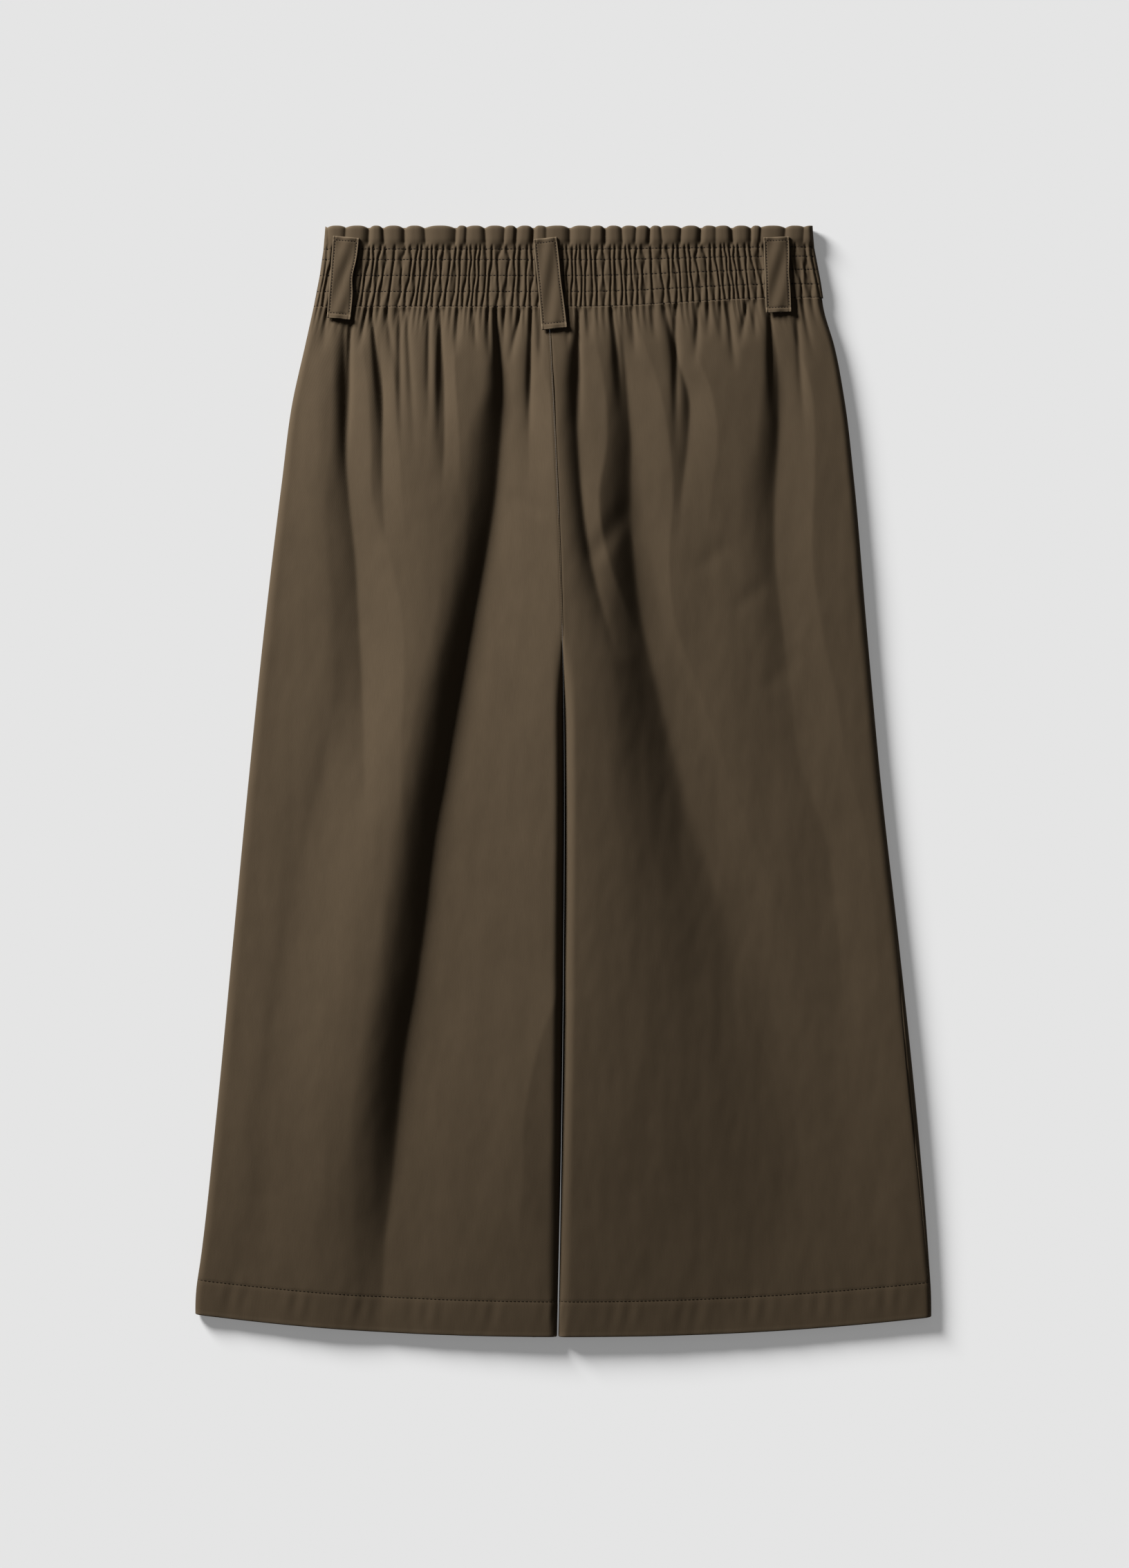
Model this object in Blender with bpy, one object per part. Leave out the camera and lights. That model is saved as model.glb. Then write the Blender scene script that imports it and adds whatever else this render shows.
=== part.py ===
"""Wide-leg cropped trousers with a shirred paperbag waist, laid flat with the back up.

Two front panels lie on the surface and two back panels lie over them, domed and folded.
The waist is an elasticated casing with a frill above it, and carries three belt loops.
+X is to the right seen from above, +Y is towards the waist, +Z is up.
"""

import math
from collections import namedtuple

import bmesh
import bpy
import numpy as np

# Driving sizes, in metres.
CLOTH = 0.0014  # wall of one layer of twill
HEM_CLOTH = 0.0020  # wall where the hem is turned up
SEAM_GAP = 0.0003  # space between two pieces at a seam
HEM_DEPTH = 0.0245
HEM_Y = -0.3900  # lowest point of the hems, beside the inseams
HEM_SWEEP = {-1: 0.0156, 1: 0.0138}  # rise of each hem towards its side seam
HEM_CURVE = 2.2
FRILL_Y = 0.3885  # mean height of the frill's top edge
FRILL_EDGE_WAVE = 0.0012
SIDE_X = 0.2588  # half the width over both hems
ROLL_SHARE = 0.06  # part of the way across a panel that each rolled edge takes

# Rows of stitching through the casing, from the frill down: height at the left and the
# centre, and how much higher each is at the right.
ShirringRow = namedtuple("ShirringRow", "y rise")
SHIRRING = [
    ShirringRow(0.3735, 0.0015),
    ShirringRow(0.3662, 0.0024),
    ShirringRow(0.3550, 0.0044),
    ShirringRow(0.3438, 0.0054),
    ShirringRow(0.3332, 0.0063),
]
RISE_FROM, RISE_OVER = 0.01, 0.15
PLEATS = 82
PLEAT_DEPTH = 0.0013
STITCHED_SHARE = 0.45  # how much of a pleat's depth is left under a row of stitches
FRILL_WAVES = 44
FRILL_WAVE_DEPTH = 0.0021
GATHER_DEPTH = 0.0022
GATHER_LENGTH = 0.030
GATHER_LENGTHS = (0.7, 0.6, 33.0)  # shortest share of it, how much is added, and how often
PAIRING_LENGTH = 0.012  # below the casing, where two pleats have become one
PUFF_LENGTH = 0.004  # from a row of stitches to a full pleat
PLEAT_SWELL = ((0.55, 23.0, 0.0), (0.30, 61.0, 0.0))  # size, speed and start of unevenness
FRILL_SWELL = ((0.45, 19.0, 0.6), (0.28, 47.0, 0.0))
FRILL_UNEVEN = (0.65, 0.35, 29.0, 1.0)
FRILL_EDGE_TURN = 0.8
CASING_INSIDE = {"back": 0.0052, "front": 0.0026}  # height of the plain inner faces

# Outline seen from above.
Outline = namedtuple("Outline", "y left right")
OUTLINE = [
    Outline(0.3900, -0.1675, 0.1752),
    Outline(0.3735, -0.1689, 0.1764),
    Outline(0.3443, -0.1735, 0.1812),
    Outline(0.3327, -0.1759, 0.1828),
    Outline(0.3059, -0.1818, 0.1905),
    Outline(0.2671, -0.1905, 0.1978),
    Outline(0.2087, -0.1983, 0.2046),
    Outline(0.1115, -0.2100, 0.2129),
    Outline(-0.0051, -0.2221, 0.2236),
    Outline(-0.1217, -0.2333, 0.2367),
    Outline(-0.2384, -0.2445, 0.2488),
    Outline(-0.3356, -0.2552, 0.2569),
    Outline(-0.3600, -0.2586, 0.2585),
    Outline(-0.3900, -SIDE_X, SIDE_X),
]

# Centre-back seam, carried on as the line between the legs, and half the gap beside it.
Middle = namedtuple("Middle", "y x half_gap")
MIDDLE = [
    Middle(0.3900, -0.0136, 0.00015),
    Middle(0.3157, -0.0097, 0.00015),
    Middle(0.2185, -0.0049, 0.00015),
    Middle(0.0630, 0.0000, 0.00015),
    Middle(-0.1300, 0.0000, 0.00016),
    Middle(-0.2480, -0.0014, 0.00022),
    Middle(-0.3900, -0.0041, 0.00055),
]
GROOVE_Y = 0.110  # the seat starts to divide here
CROTCH_Y = 0.034
INNER_ROLL = {-1: 0.008, 1: 0.008}
INNER_CURL = 0.7  # the inner rolls' greatest width, in heights of the inner ridge
INNER_SEAM_Z = 0.0090  # the inseams' height, and less near the hem

# How the back lies, as heights over the surface at lines that run down it: both rolled
# edges, a shelf, a ridge beside the left leg's deep fold, the inner ridge beside the
# middle, and the foot and the flat of the right leg. roll is how wide the edges curl.
Lay = namedtuple(
    "Lay", "y left_edge shelf_x shelf ridge_x ridge inner_x inner foot_x foot flat_x flat right_edge roll"
)
LAY = [
    Lay(0.39, 0.008, -0.153, 0.0083, -0.085, 0.0084, -0.01, 0.0084,
        0.044, 0.0084, 0.119, 0.0083, 0.008, 0.004),
    Lay(0.3332, 0.008, -0.153, 0.0084, -0.085, 0.0086, -0.007, 0.0085,
        0.044, 0.0084, 0.119, 0.0084, 0.008, 0.004),
    Lay(0.305, 0.0082, -0.158, 0.0105, -0.085, 0.0125, -0.007, 0.012,
        0.044, 0.01, 0.114, 0.0105, 0.0082, 0.0045),
    Lay(0.257, 0.0083, -0.167, 0.012, -0.085, 0.0155, -0.007, 0.0152,
        0.044, 0.0112, 0.114, 0.011, 0.0085, 0.005),
    Lay(0.16, 0.0075, -0.163, 0.0115, -0.087, 0.019, -0.001, 0.02,
        0.063, 0.0078, 0.116, 0.0092, 0.0088, 0.006),
    Lay(0.063, 0.007, -0.16, 0.011, -0.102, 0.0215, 0.008, 0.0232,
        0.079, 0.0054, 0.121, 0.0075, 0.0088, 0.0065),
    Lay(-0.034, 0.007, -0.182, 0.009, -0.114, 0.022, 0.013, 0.023,
        0.104, 0.0054, 0.14, 0.0064, 0.0088, 0.0065),
    Lay(-0.131, 0.007, -0.202, 0.009, -0.128, 0.0205, 0.013, 0.0222,
        0.143, 0.0052, 0.167, 0.0056, 0.0092, 0.0065),
    Lay(-0.229, 0.007, -0.214, 0.009, -0.142, 0.0172, 0.015, 0.0194,
        0.172, 0.006, 0.189, 0.0062, 0.0094, 0.0065),
    Lay(-0.326, 0.0064, -0.221, 0.0068, -0.158, 0.0108, 0.017, 0.013,
        0.18, 0.0064, 0.194, 0.0064, 0.0084, 0.0055),
    Lay(-0.39, 0.0058, -0.226, 0.0056, -0.163, 0.007, 0.017, 0.0086,
        0.174, 0.007, 0.194, 0.0066, 0.0064, 0.0042),
]

# How far round the right side's rolled edge the seam has turned onto the top, in degrees.
SeamTurn = namedtuple("SeamTurn", "y degrees")
RIGHT_SEAM_TURN = [
    SeamTurn(-0.3900, 36),
    SeamTurn(-0.3000, 58),
    SeamTurn(-0.2100, 66),
    SeamTurn(-0.1300, 40),
    SeamTurn(-0.0800, 0),
]

# Long folds: each falls from its left over a rounded shoulder to a sharp foot, and rises
# again to its right. left and right are how far it reaches from its foot.
Station = namedtuple("Station", "y x depth left right")
FOLDS = {
    "left_leg_deep_fold": [
        Station(0.333, -0.0470, 0.0000, 0.010, 0.010),
        Station(0.316, -0.0455, 0.0040, 0.010, 0.020),
        Station(0.276, -0.0432, 0.0078, 0.014, 0.032),
        Station(0.238, -0.0445, 0.0098, 0.026, 0.036),
        Station(0.199, -0.0480, 0.0112, 0.032, 0.042),
        Station(0.160, -0.0545, 0.0122, 0.030, 0.052),
        Station(0.111, -0.0640, 0.0132, 0.028, 0.062),
        Station(0.063, -0.0729, 0.0140, 0.029, 0.072),
        Station(0.014, -0.0812, 0.0140, 0.030, 0.080),
        Station(-0.034, -0.0899, 0.0140, 0.030, 0.086),
        Station(-0.083, -0.0957, 0.0140, 0.031, 0.090),
        Station(-0.131, -0.1016, 0.0130, 0.032, 0.100),
        Station(-0.180, -0.1103, 0.0128, 0.032, 0.092),
        Station(-0.229, -0.1152, 0.0120, 0.034, 0.086),
        Station(-0.277, -0.1191, 0.0094, 0.038, 0.088),
        Station(-0.326, -0.1249, 0.0056, 0.038, 0.092),
        Station(-0.370, -0.1270, 0.0022, 0.036, 0.106),
        Station(-0.390, -0.1280, 0.0010, 0.036, 0.106),
    ],
    "left_leg_outer_fold": [
        Station(0.333, -0.1540, 0.0000, 0.008, 0.008),
        Station(0.276, -0.1540, 0.0042, 0.009, 0.016),
        Station(0.238, -0.1535, 0.0042, 0.011, 0.018),
        Station(0.199, -0.1505, 0.0042, 0.017, 0.016),
        Station(0.160, -0.1463, 0.0046, 0.021, 0.023),
        Station(0.111, -0.1434, 0.0045, 0.024, 0.030),
        Station(0.063, -0.1410, 0.0038, 0.026, 0.028),
        Station(0.014, -0.1395, 0.0022, 0.026, 0.025),
        Station(-0.034, -0.1390, 0.0000, 0.026, 0.025),
    ],
    "left_leg_second_gather": [
        Station(0.328, -0.1310, 0.0000, 0.008, 0.008),
        Station(0.276, -0.1275, 0.0036, 0.009, 0.009),
        Station(0.238, -0.1270, 0.0032, 0.011, 0.011),
        Station(0.199, -0.1265, 0.0020, 0.014, 0.013),
        Station(0.160, -0.1240, 0.0000, 0.015, 0.014),
    ],
    "left_leg_third_gather": [
        Station(0.328, -0.0860, 0.0000, 0.007, 0.008),
        Station(0.280, -0.0841, 0.0036, 0.008, 0.008),
        Station(0.238, -0.0835, 0.0020, 0.010, 0.010),
        Station(0.200, -0.0850, 0.0000, 0.012, 0.012),
    ],
    "left_seat_gather": [
        Station(0.328, -0.0240, 0.0000, 0.008, 0.014),
        Station(0.280, -0.0236, 0.0024, 0.011, 0.018),
        Station(0.238, -0.0240, 0.0012, 0.012, 0.018),
        Station(0.195, -0.0240, 0.0000, 0.012, 0.018),
    ],
    "right_seat_fold": [
        Station(0.328, 0.0095, 0.0000, 0.008, 0.008),
        Station(0.285, 0.0080, 0.0044, 0.011, 0.019),
        Station(0.238, 0.0098, 0.0050, 0.013, 0.020),
        Station(0.199, 0.0125, 0.0048, 0.013, 0.012),
        Station(0.160, 0.0180, 0.0048, 0.017, 0.012),
        Station(0.126, 0.0260, 0.0034, 0.022, 0.016),
        Station(0.085, 0.0380, 0.0000, 0.030, 0.020),
    ],
    "right_leg_broad_fold": [
        Station(0.328, 0.0400, 0.0000, 0.008, 0.008),
        Station(0.276, 0.0445, 0.0050, 0.016, 0.022),
        Station(0.238, 0.0475, 0.0058, 0.020, 0.026),
        Station(0.199, 0.0480, 0.0060, 0.022, 0.028),
        Station(0.160, 0.0495, 0.0055, 0.023, 0.024),
        Station(0.111, 0.0560, 0.0052, 0.030, 0.022),
        Station(0.063, 0.0690, 0.0036, 0.036, 0.026),
        Station(0.014, 0.0820, 0.0030, 0.040, 0.030),
        Station(-0.034, 0.0950, 0.0024, 0.045, 0.034),
        Station(-0.131, 0.1200, 0.0010, 0.060, 0.045),
        Station(-0.229, 0.1150, 0.0000, 0.072, 0.060),
        Station(-0.390, 0.1100, 0.0000, 0.075, 0.070),
    ],
    "right_leg_middle_gather": [
        Station(0.325, 0.0760, 0.0000, 0.009, 0.012),
        Station(0.300, 0.0795, 0.0026, 0.011, 0.014),
        Station(0.270, 0.0880, 0.0042, 0.014, 0.016),
        Station(0.238, 0.0875, 0.0028, 0.016, 0.020),
        Station(0.199, 0.0830, 0.0015, 0.016, 0.020),
        Station(0.165, 0.0810, 0.0000, 0.016, 0.018),
    ],
    "right_leg_loop_fold": [
        Station(0.330, 0.1465, 0.0000, 0.008, 0.008),
        Station(0.276, 0.1510, 0.0054, 0.013, 0.022),
        Station(0.238, 0.1510, 0.0052, 0.018, 0.025),
        Station(0.199, 0.1490, 0.0050, 0.025, 0.026),
        Station(0.160, 0.1490, 0.0044, 0.026, 0.025),
        Station(0.111, 0.1540, 0.0036, 0.028, 0.026),
        Station(0.063, 0.1600, 0.0030, 0.036, 0.030),
        Station(0.014, 0.1660, 0.0024, 0.038, 0.032),
        Station(-0.034, 0.1830, 0.0022, 0.040, 0.028),
        Station(-0.083, 0.1910, 0.0020, 0.040, 0.025),
        Station(-0.131, 0.1950, 0.0014, 0.036, 0.025),
        Station(-0.190, 0.1970, 0.0000, 0.034, 0.025),
    ],
}
FALL, FALL_SKEW = 3, 1.3  # the fall from the inner ridge is steepest towards its foot
WALL_POWER = 2.2  # how rounded a fold's left shoulder is
RISE_POWER = 1.0  # and how even its rise to the right
LOWEST_BACK = 0.0046  # folds never press the back nearer to the front than this
SOFT_STOP = 0.0014

# Belt loops: middle of the top and the bottom end, and the width at each.
Loop = namedtuple("Loop", "name top_x top_y bottom_x bottom_y top_width bottom_width")
BELT_LOOPS = [
    Loop("belt_loop_left", -0.1526, 0.3818, -0.1579, 0.3244, 0.0182, 0.0164),
    Loop("belt_loop_centre", -0.0129, 0.3810, -0.0063, 0.3173, 0.0162, 0.0176),
    Loop("belt_loop_right", 0.1494, 0.3818, 0.1511, 0.3290, 0.0178, 0.0176),
]
LOOP_CLOTH = 0.0013
LOOP_CLEARANCE = 0.0004  # from the cloth that a loop is sewn to
LOOP_BOW = 0.0006  # how far its middle stands off the casing
LOOP_ROWS, LOOP_COLUMNS = 10, 3

# Lines along each back panel's main fold, in shares of its reach to the left and right.
MAIN_FOLD = {-1: "left_leg_deep_fold", 1: "right_leg_broad_fold"}
FOLD_LINES = (-1.0, -0.76, -0.54, -0.34, -0.16, 0.0, 0.12, 0.36, 0.7)

# Lines across the legs, by the height at which each crosses the middle.
GATHERED_LINES = [0.33305, 0.3255, 0.3170, 0.3070, 0.2940]
SEAT_LINES = [0.2760, 0.2540, 0.2290, 0.2010, 0.1710, 0.1400, 0.1080]
LEG_LINES = [0.0740, 0.0340, -0.0160, -0.0700, -0.1250, -0.1800, -0.2350, -0.2880]
HEM_LINES = [-0.3300, HEM_Y + HEM_DEPTH, HEM_Y + HEM_DEPTH - 0.001, HEM_Y]
GATHERED_COLUMNS = 82
SEAT_COLUMNS = {-1: (17, 6), 1: (7, 18)}  # before and after the main fold
LEG_COLUMNS = {-1: (9, 4), 1: (4, 9)}
FRONT_TOP_COLUMNS, FRONT_COLUMNS = 9, 3
BACK_ROLL, FRONT_ROLL = 3, 3

# Lines across the casing: 0 is the frill's edge, and each whole number a row of stitches.
CASING_LINES = {
    "back": [0.0, 0.35, 0.7, 1.0, 1.5, 2.0, 2.5, 3.0, 3.5, 4.0, 4.5, 5.0],
    "front": [0.0, 0.7, 1.0, 2.0, 3.0, 4.0, 5.0],
}
CASING_INSIDE_COLUMNS = 18
CASING_ROLL = 3

TWILL = (0.100, 0.078, 0.047)
TWILL_SHADE = (0.088, 0.068, 0.041)
TWILL_ROUGHNESS = 0.86

Row = namedtuple("Row", "at points")


def ease(t):
    """0 to 1 with level ends."""
    t = np.clip(t, 0.0, 1.0)
    return t * t * (3.0 - 2.0 * t)


def follow(y, table, column):
    """A smooth line through one column of a table that is given from high y to low."""
    stations = sorted(table)
    ys = np.array([s.y for s in stations])
    values = np.array([getattr(s, column) for s in stations])
    slopes = np.gradient(values, ys)
    i = np.clip(np.searchsorted(ys, y) - 1, 0, len(ys) - 2)
    span = ys[i + 1] - ys[i]
    t = np.clip((y - ys[i]) / span, 0.0, 1.0)
    start = values[i] * (1 + 2 * t) * (1 - t) ** 2 + slopes[i] * span * t * (1 - t) ** 2
    end = values[i + 1] * t**2 * (3 - 2 * t) + slopes[i + 1] * span * t**2 * (t - 1)
    return start + end


def shirring_y(x, row):
    """Height of one row of stitching at x."""
    return row.y + row.rise * ease((x - RISE_FROM) / RISE_OVER)


def uneven(across, swell):
    """A sum of slow waves, which makes a count uneven."""
    return sum(size * np.sin(speed * across + start) for size, speed, start in swell)


def frill_turns(across):
    """How many frill waves lie to the left, at a share of the way across."""
    return FRILL_WAVES * across + uneven(across, FRILL_SWELL)


def pleat_turns(across):
    """How many pleats lie to the left, at a share of the way across."""
    return PLEATS * across + uneven(across, PLEAT_SWELL)


def cusped(turns):
    """Round ridges between narrow valleys: 0 on a ridge, 1 in a valley."""
    return 1.0 - np.abs(np.sin(math.pi * turns))


def share_across(x, y):
    """0 at the left outline and 1 at the right."""
    left, right = follow(y, OUTLINE, "left"), follow(y, OUTLINE, "right")
    return (x - left) / (right - left)


def base_height(x, y):
    """The back without its folds and gathers."""
    places = [follow(y, OUTLINE, "left")]
    places += [follow(y, LAY, column) for column in ("shelf_x", "ridge_x", "inner_x", "foot_x", "flat_x")]
    places = np.array(places + [follow(y, OUTLINE, "right")])
    columns = ("left_edge", "shelf", "ridge", "inner", "foot", "flat", "right_edge")
    heights = np.array([follow(y, LAY, column) for column in columns])
    i = np.clip(np.sum(x >= places, axis=0) - 1, 0, len(places) - 2)[None]
    start, end = (np.take_along_axis(places, i + k, axis=0)[0] for k in (0, 1))
    low, high = (np.take_along_axis(heights, i + k, axis=0)[0] for k in (0, 1))
    t = np.clip((x - start) / (end - start), 0.0, 1.0)
    return low + (high - low) * ease(t ** np.where(i[0] == FALL, FALL_SKEW, 1.0))


def fold_depth(x, y):
    """Depth of all the named folds together."""
    total = np.zeros_like(x)
    for stations in FOLDS.values():
        off = x - follow(y, stations, "x")
        reach = np.where(off < 0, follow(y, stations, "left"), follow(y, stations, "right"))
        inside = (y < stations[0].y) & (y > stations[-1].y)
        depth = np.where(inside, follow(y, stations, "depth"), 0.0)
        near = np.clip(1.0 - np.abs(off) / reach, 0.0, 1.0)
        total += depth * near ** np.where(off < 0, WALL_POWER, RISE_POWER)
    return total


def gather_depth(x, y):
    """Pleats running out of the casing into the legs, two by two."""
    across = share_across(x, y)
    below = np.clip(shirring_y(x, SHIRRING[-1]) - y, 0.0, None)
    least, added, speed = GATHER_LENGTHS
    length = GATHER_LENGTH * (least + added * np.sin(speed * across) ** 2)
    in_pairs = cusped(pleat_turns(across) / 2.0)
    single = cusped(pleat_turns(across))
    merging = ease(below / PAIRING_LENGTH)
    depth = PLEAT_DEPTH * STITCHED_SHARE * single * (1 - merging)
    depth = depth + GATHER_DEPTH * in_pairs * merging
    return depth * np.exp(-((below / length) ** 2))


def back_height(x, y, gathered):
    """Outer height of the back panels, with or without the fine gathers."""
    height = base_height(x, y) - fold_depth(x, y)
    over = height - LOWEST_BACK
    height = LOWEST_BACK + 0.5 * (over + np.sqrt(over**2 + SOFT_STOP**2))
    fine = gather_depth(x, y) if gathered else 0.0
    return height - fine


def casing_height(x, y):
    """Outer height of the back of the waist: pleats between stitches, waves above."""
    across = share_across(x, y)
    top = shirring_y(x, SHIRRING[0])
    nearest = np.min([np.abs(y - shirring_y(x, row)) for row in SHIRRING], axis=0)
    puff = STITCHED_SHARE + (1 - STITCHED_SHARE) * ease(nearest / PUFF_LENGTH)
    pleats = PLEAT_DEPTH * puff * cusped(pleat_turns(across))
    up_frill = np.clip((y - top) / (FRILL_Y - top), 0.0, 1.0)
    waves = FRILL_WAVE_DEPTH * np.sin(2 * math.pi * frill_turns(across))
    least, added, speed, start = FRILL_UNEVEN
    waves = waves * (least + added * np.sin(speed * across + start))
    return base_height(x, y) - pleats * (1 - up_frill) ** 2 + waves * ease(up_frill)


def flat_tube(q, left, right, left_roll, right_roll):
    """Where a point lies round a flattened tube.

    q runs from 0 to 1 over the top, from the left edge to the right, and from 1 to 2
    back underneath. Gives x, how far up each edge's roll the point is, from 0 to 1,
    and whether it is on top.
    """
    across = np.abs(np.mod(q + 1.0, 2.0) - 1.0)
    on_top = np.mod(q, 2.0) <= 1.0
    turn_left = 0.5 * math.pi * np.clip(across / ROLL_SHARE, 0, 1)
    turn_right = 0.5 * math.pi * np.clip((1.0 - across) / ROLL_SHARE, 0, 1)
    t = np.clip((across - ROLL_SHARE) / (1.0 - 2.0 * ROLL_SHARE), 0, 1)
    middle = (left + left_roll) * (1 - t) + (right - right_roll) * t
    x = np.where(
        across < ROLL_SHARE,
        left + left_roll * (1 - np.cos(turn_left)),
        np.where(
            across > 1 - ROLL_SHARE,
            right - right_roll * (1 - np.cos(turn_right)),
            middle,
        ),
    )
    return x, np.sin(turn_left), np.sin(turn_right), on_top


def leg_row_y(x, down):
    """Height of a line across a leg: the lowest shirring at 0, and the hem at 1."""
    top = shirring_y(x, SHIRRING[-1]) - SEAM_GAP / 2
    sweep = np.where(x < 0, HEM_SWEEP[-1], HEM_SWEEP[1])
    hem = HEM_Y + sweep * (np.abs(x) / SIDE_X) ** HEM_CURVE
    return top + (hem - top) * down


def leg_edges(side, down):
    """The left and the right edge of a leg, and how wide each one's roll is."""
    column = "left" if side < 0 else "right"
    y = leg_row_y(np.full_like(down, side * SIDE_X), down)
    y = leg_row_y(follow(y, OUTLINE, column), down)
    outer, roll = follow(y, OUTLINE, column), follow(y, LAY, "roll")
    y = leg_row_y(np.zeros_like(down), down)
    inner = follow(y, MIDDLE, "x") + side * follow(y, MIDDLE, "half_gap")
    inner_roll = np.minimum(INNER_ROLL[side], INNER_CURL * follow(y, LAY, "inner"))
    if side < 0:
        return outer, inner, roll, inner_roll
    return inner, outer, inner_roll, roll


EDGE = {-1: "left_edge", 1: "right_edge"}


def leg_point(side, q, down, gathered):
    """A point of a leg's outer face. side is -1 for the left leg and 1 for the right."""
    x, up_outer, up_inner, on_top = flat_tube(q, *leg_edges(side, down))
    if side > 0:
        up_outer, up_inner = up_inner, up_outer
    y = leg_row_y(x, down)
    top = back_height(x, y, gathered)
    middle_y = leg_row_y(np.zeros_like(q), down)
    split = ease((GROOVE_Y - middle_y) / (GROOVE_Y - CROTCH_Y))
    seam_z = follow(y, LAY, EDGE[side]) / 2
    up_inner = 1 - split * (1 - up_inner)
    over = seam_z + (top - seam_z) * up_outer
    inner_z = np.minimum(INNER_SEAM_Z, follow(y, LAY, "inner") / 2)
    over = inner_z + (over - inner_z) * up_inner
    under = seam_z * (1 - up_outer) + inner_z * (1 - up_inner)
    return np.stack([x, y, np.where(on_top, over, under)], axis=-1)


def casing_row_y(x, down, ripple):
    """Height of a line across the waist: the frill's edge at 0, then each shirring row."""
    across = share_across(x, FRILL_Y)
    lines = [FRILL_Y + ripple * np.sin(2 * math.pi * frill_turns(across) + FRILL_EDGE_TURN)]
    lines += [shirring_y(x, row) for row in SHIRRING]
    lines[-1] = lines[-1] + SEAM_GAP / 2
    i = np.clip(np.floor(down).astype(int), 0, len(SHIRRING) - 1)
    lines = np.array(np.broadcast_arrays(*lines))
    high = np.take_along_axis(lines, i[None], axis=0)[0]
    low = np.take_along_axis(lines, i[None] + 1, axis=0)[0]
    return high + (low - high) * (down - i)


def casing_point(q, down, ripple):
    """A point of the waist's outer face. down is 0 at the frill's edge and 1 at row 1."""
    y = casing_row_y(np.zeros_like(q), down, 0.0)
    left, right = follow(y, OUTLINE, "left"), follow(y, OUTLINE, "right")
    roll, edge = follow(y, LAY, "roll"), follow(y, LAY, EDGE[-1])
    x, up_left, up_right, on_top = flat_tube(q, left, right, roll, roll)
    y = casing_row_y(x, down, ripple)
    seam_z = edge / 2
    over = seam_z + (casing_height(x, y) - seam_z) * up_left * up_right
    under = seam_z * (1 - up_left * up_right)
    return np.stack([x, y, np.where(on_top, over, under)], axis=-1)


def inside_of(point, q, down, wall):
    """Points of the inner face, straight in from the outer face by the wall."""
    step = 1e-4
    along = point(q + step, down) - point(q - step, down)
    downward = point(q, down + step) - point(q, down - step)
    normal = np.cross(downward, along)
    normal /= np.linalg.norm(normal, axis=-1, keepdims=True)
    return point(q, down) - normal * np.reshape(wall, (-1, 1))


def material(name, colour):
    """Matte dyed cotton twill."""
    made = bpy.data.materials.new(name)
    made.use_nodes = True
    shader = made.node_tree.nodes["Principled BSDF"]
    shader.inputs["Base Color"].default_value = (*colour, 1.0)
    shader.inputs["Roughness"].default_value = TWILL_ROUGHNESS
    shader.inputs["Metallic"].default_value = 0.0
    return made


def zip_rows(mesh, first, second):
    """Triangles between two rows of vertices, which may differ in number."""
    (at_a, a), (at_b, b) = first, second
    i = j = 0
    while i < len(a) - 1 or j < len(b) - 1:
        a_is_next = j == len(b) - 1
        if i < len(a) - 1 and j < len(b) - 1:
            a_is_next = at_a[i + 1] <= at_b[j + 1]
        if a_is_next:
            mesh.faces.new((a[i], a[i + 1], b[j]))
            i += 1
        else:
            mesh.faces.new((a[i], b[j + 1], b[j]))
            j += 1


def add_solid(name, outer, inner, finish):
    """A closed wall between an outer and an inner face, each given as rows of points."""
    mesh = bmesh.new()
    faces = []
    for rows in (outer, inner):
        faces.append([(r.at, [mesh.verts.new(p) for p in r.points]) for r in rows])
    for rows in faces:
        for above, below in zip(rows, rows[1:]):
            zip_rows(mesh, above, below)
    for end in (0, -1):
        zip_rows(mesh, faces[0][end], faces[1][end])
        sides = [[vertices[end] for _, vertices in rows] for rows in faces]
        zip_rows(mesh, *(([-vertex.co.y for vertex in side], side) for side in sides))
    bmesh.ops.recalc_face_normals(mesh, faces=mesh.faces)
    data = bpy.data.meshes.new(name)
    mesh.to_mesh(data)
    mesh.free()
    data.shade_smooth()
    data.set_sharp_from_angle(angle=math.radians(50))
    data.materials.append(finish)
    piece = bpy.data.objects.new(name, data)
    bpy.context.collection.objects.link(piece)
    return piece


def rolled(start, end, flat_columns, roll_columns):
    """Places across a panel, closer together where its edges roll."""
    low, high = start + ROLL_SHARE, end - ROLL_SHARE
    first = np.linspace(start, low, roll_columns + 1)[:-1]
    last = np.linspace(high, end, roll_columns + 1)[1:]
    return np.concatenate([first, np.linspace(low, high, flat_columns + 1), last])


def back_places(side, down, start, end, counts):
    """Places across a back panel: closer where its edges roll and along its main fold."""
    left, right, left_roll, right_roll = leg_edges(side, np.array(down))
    stations = FOLDS[MAIN_FOLD[side]]
    y = leg_row_y(follow(leg_row_y(np.zeros(1), down), stations, "x"), down)
    x, low = follow(y, stations, "x"), left + left_roll
    reach = [follow(y, stations, "left"), follow(y, stations, "right")]
    lines = [x[0] + share * reach[share > 0][0] for share in FOLD_LINES]
    width = right - right_roll - low
    lines = ROLL_SHARE + (1 - 2 * ROLL_SHARE) * (np.array(lines) - low) / width
    first = np.linspace(start, ROLL_SHARE, BACK_ROLL, endpoint=False)
    before = np.linspace(ROLL_SHARE, lines[0], counts[0], endpoint=False)
    after = np.linspace(lines[-1], 1 - ROLL_SHARE, counts[1] + 1)[1:]
    last = np.linspace(1 - ROLL_SHARE, end, BACK_ROLL + 1)[1:]
    return np.concatenate([first, before, lines, after, last])


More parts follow.
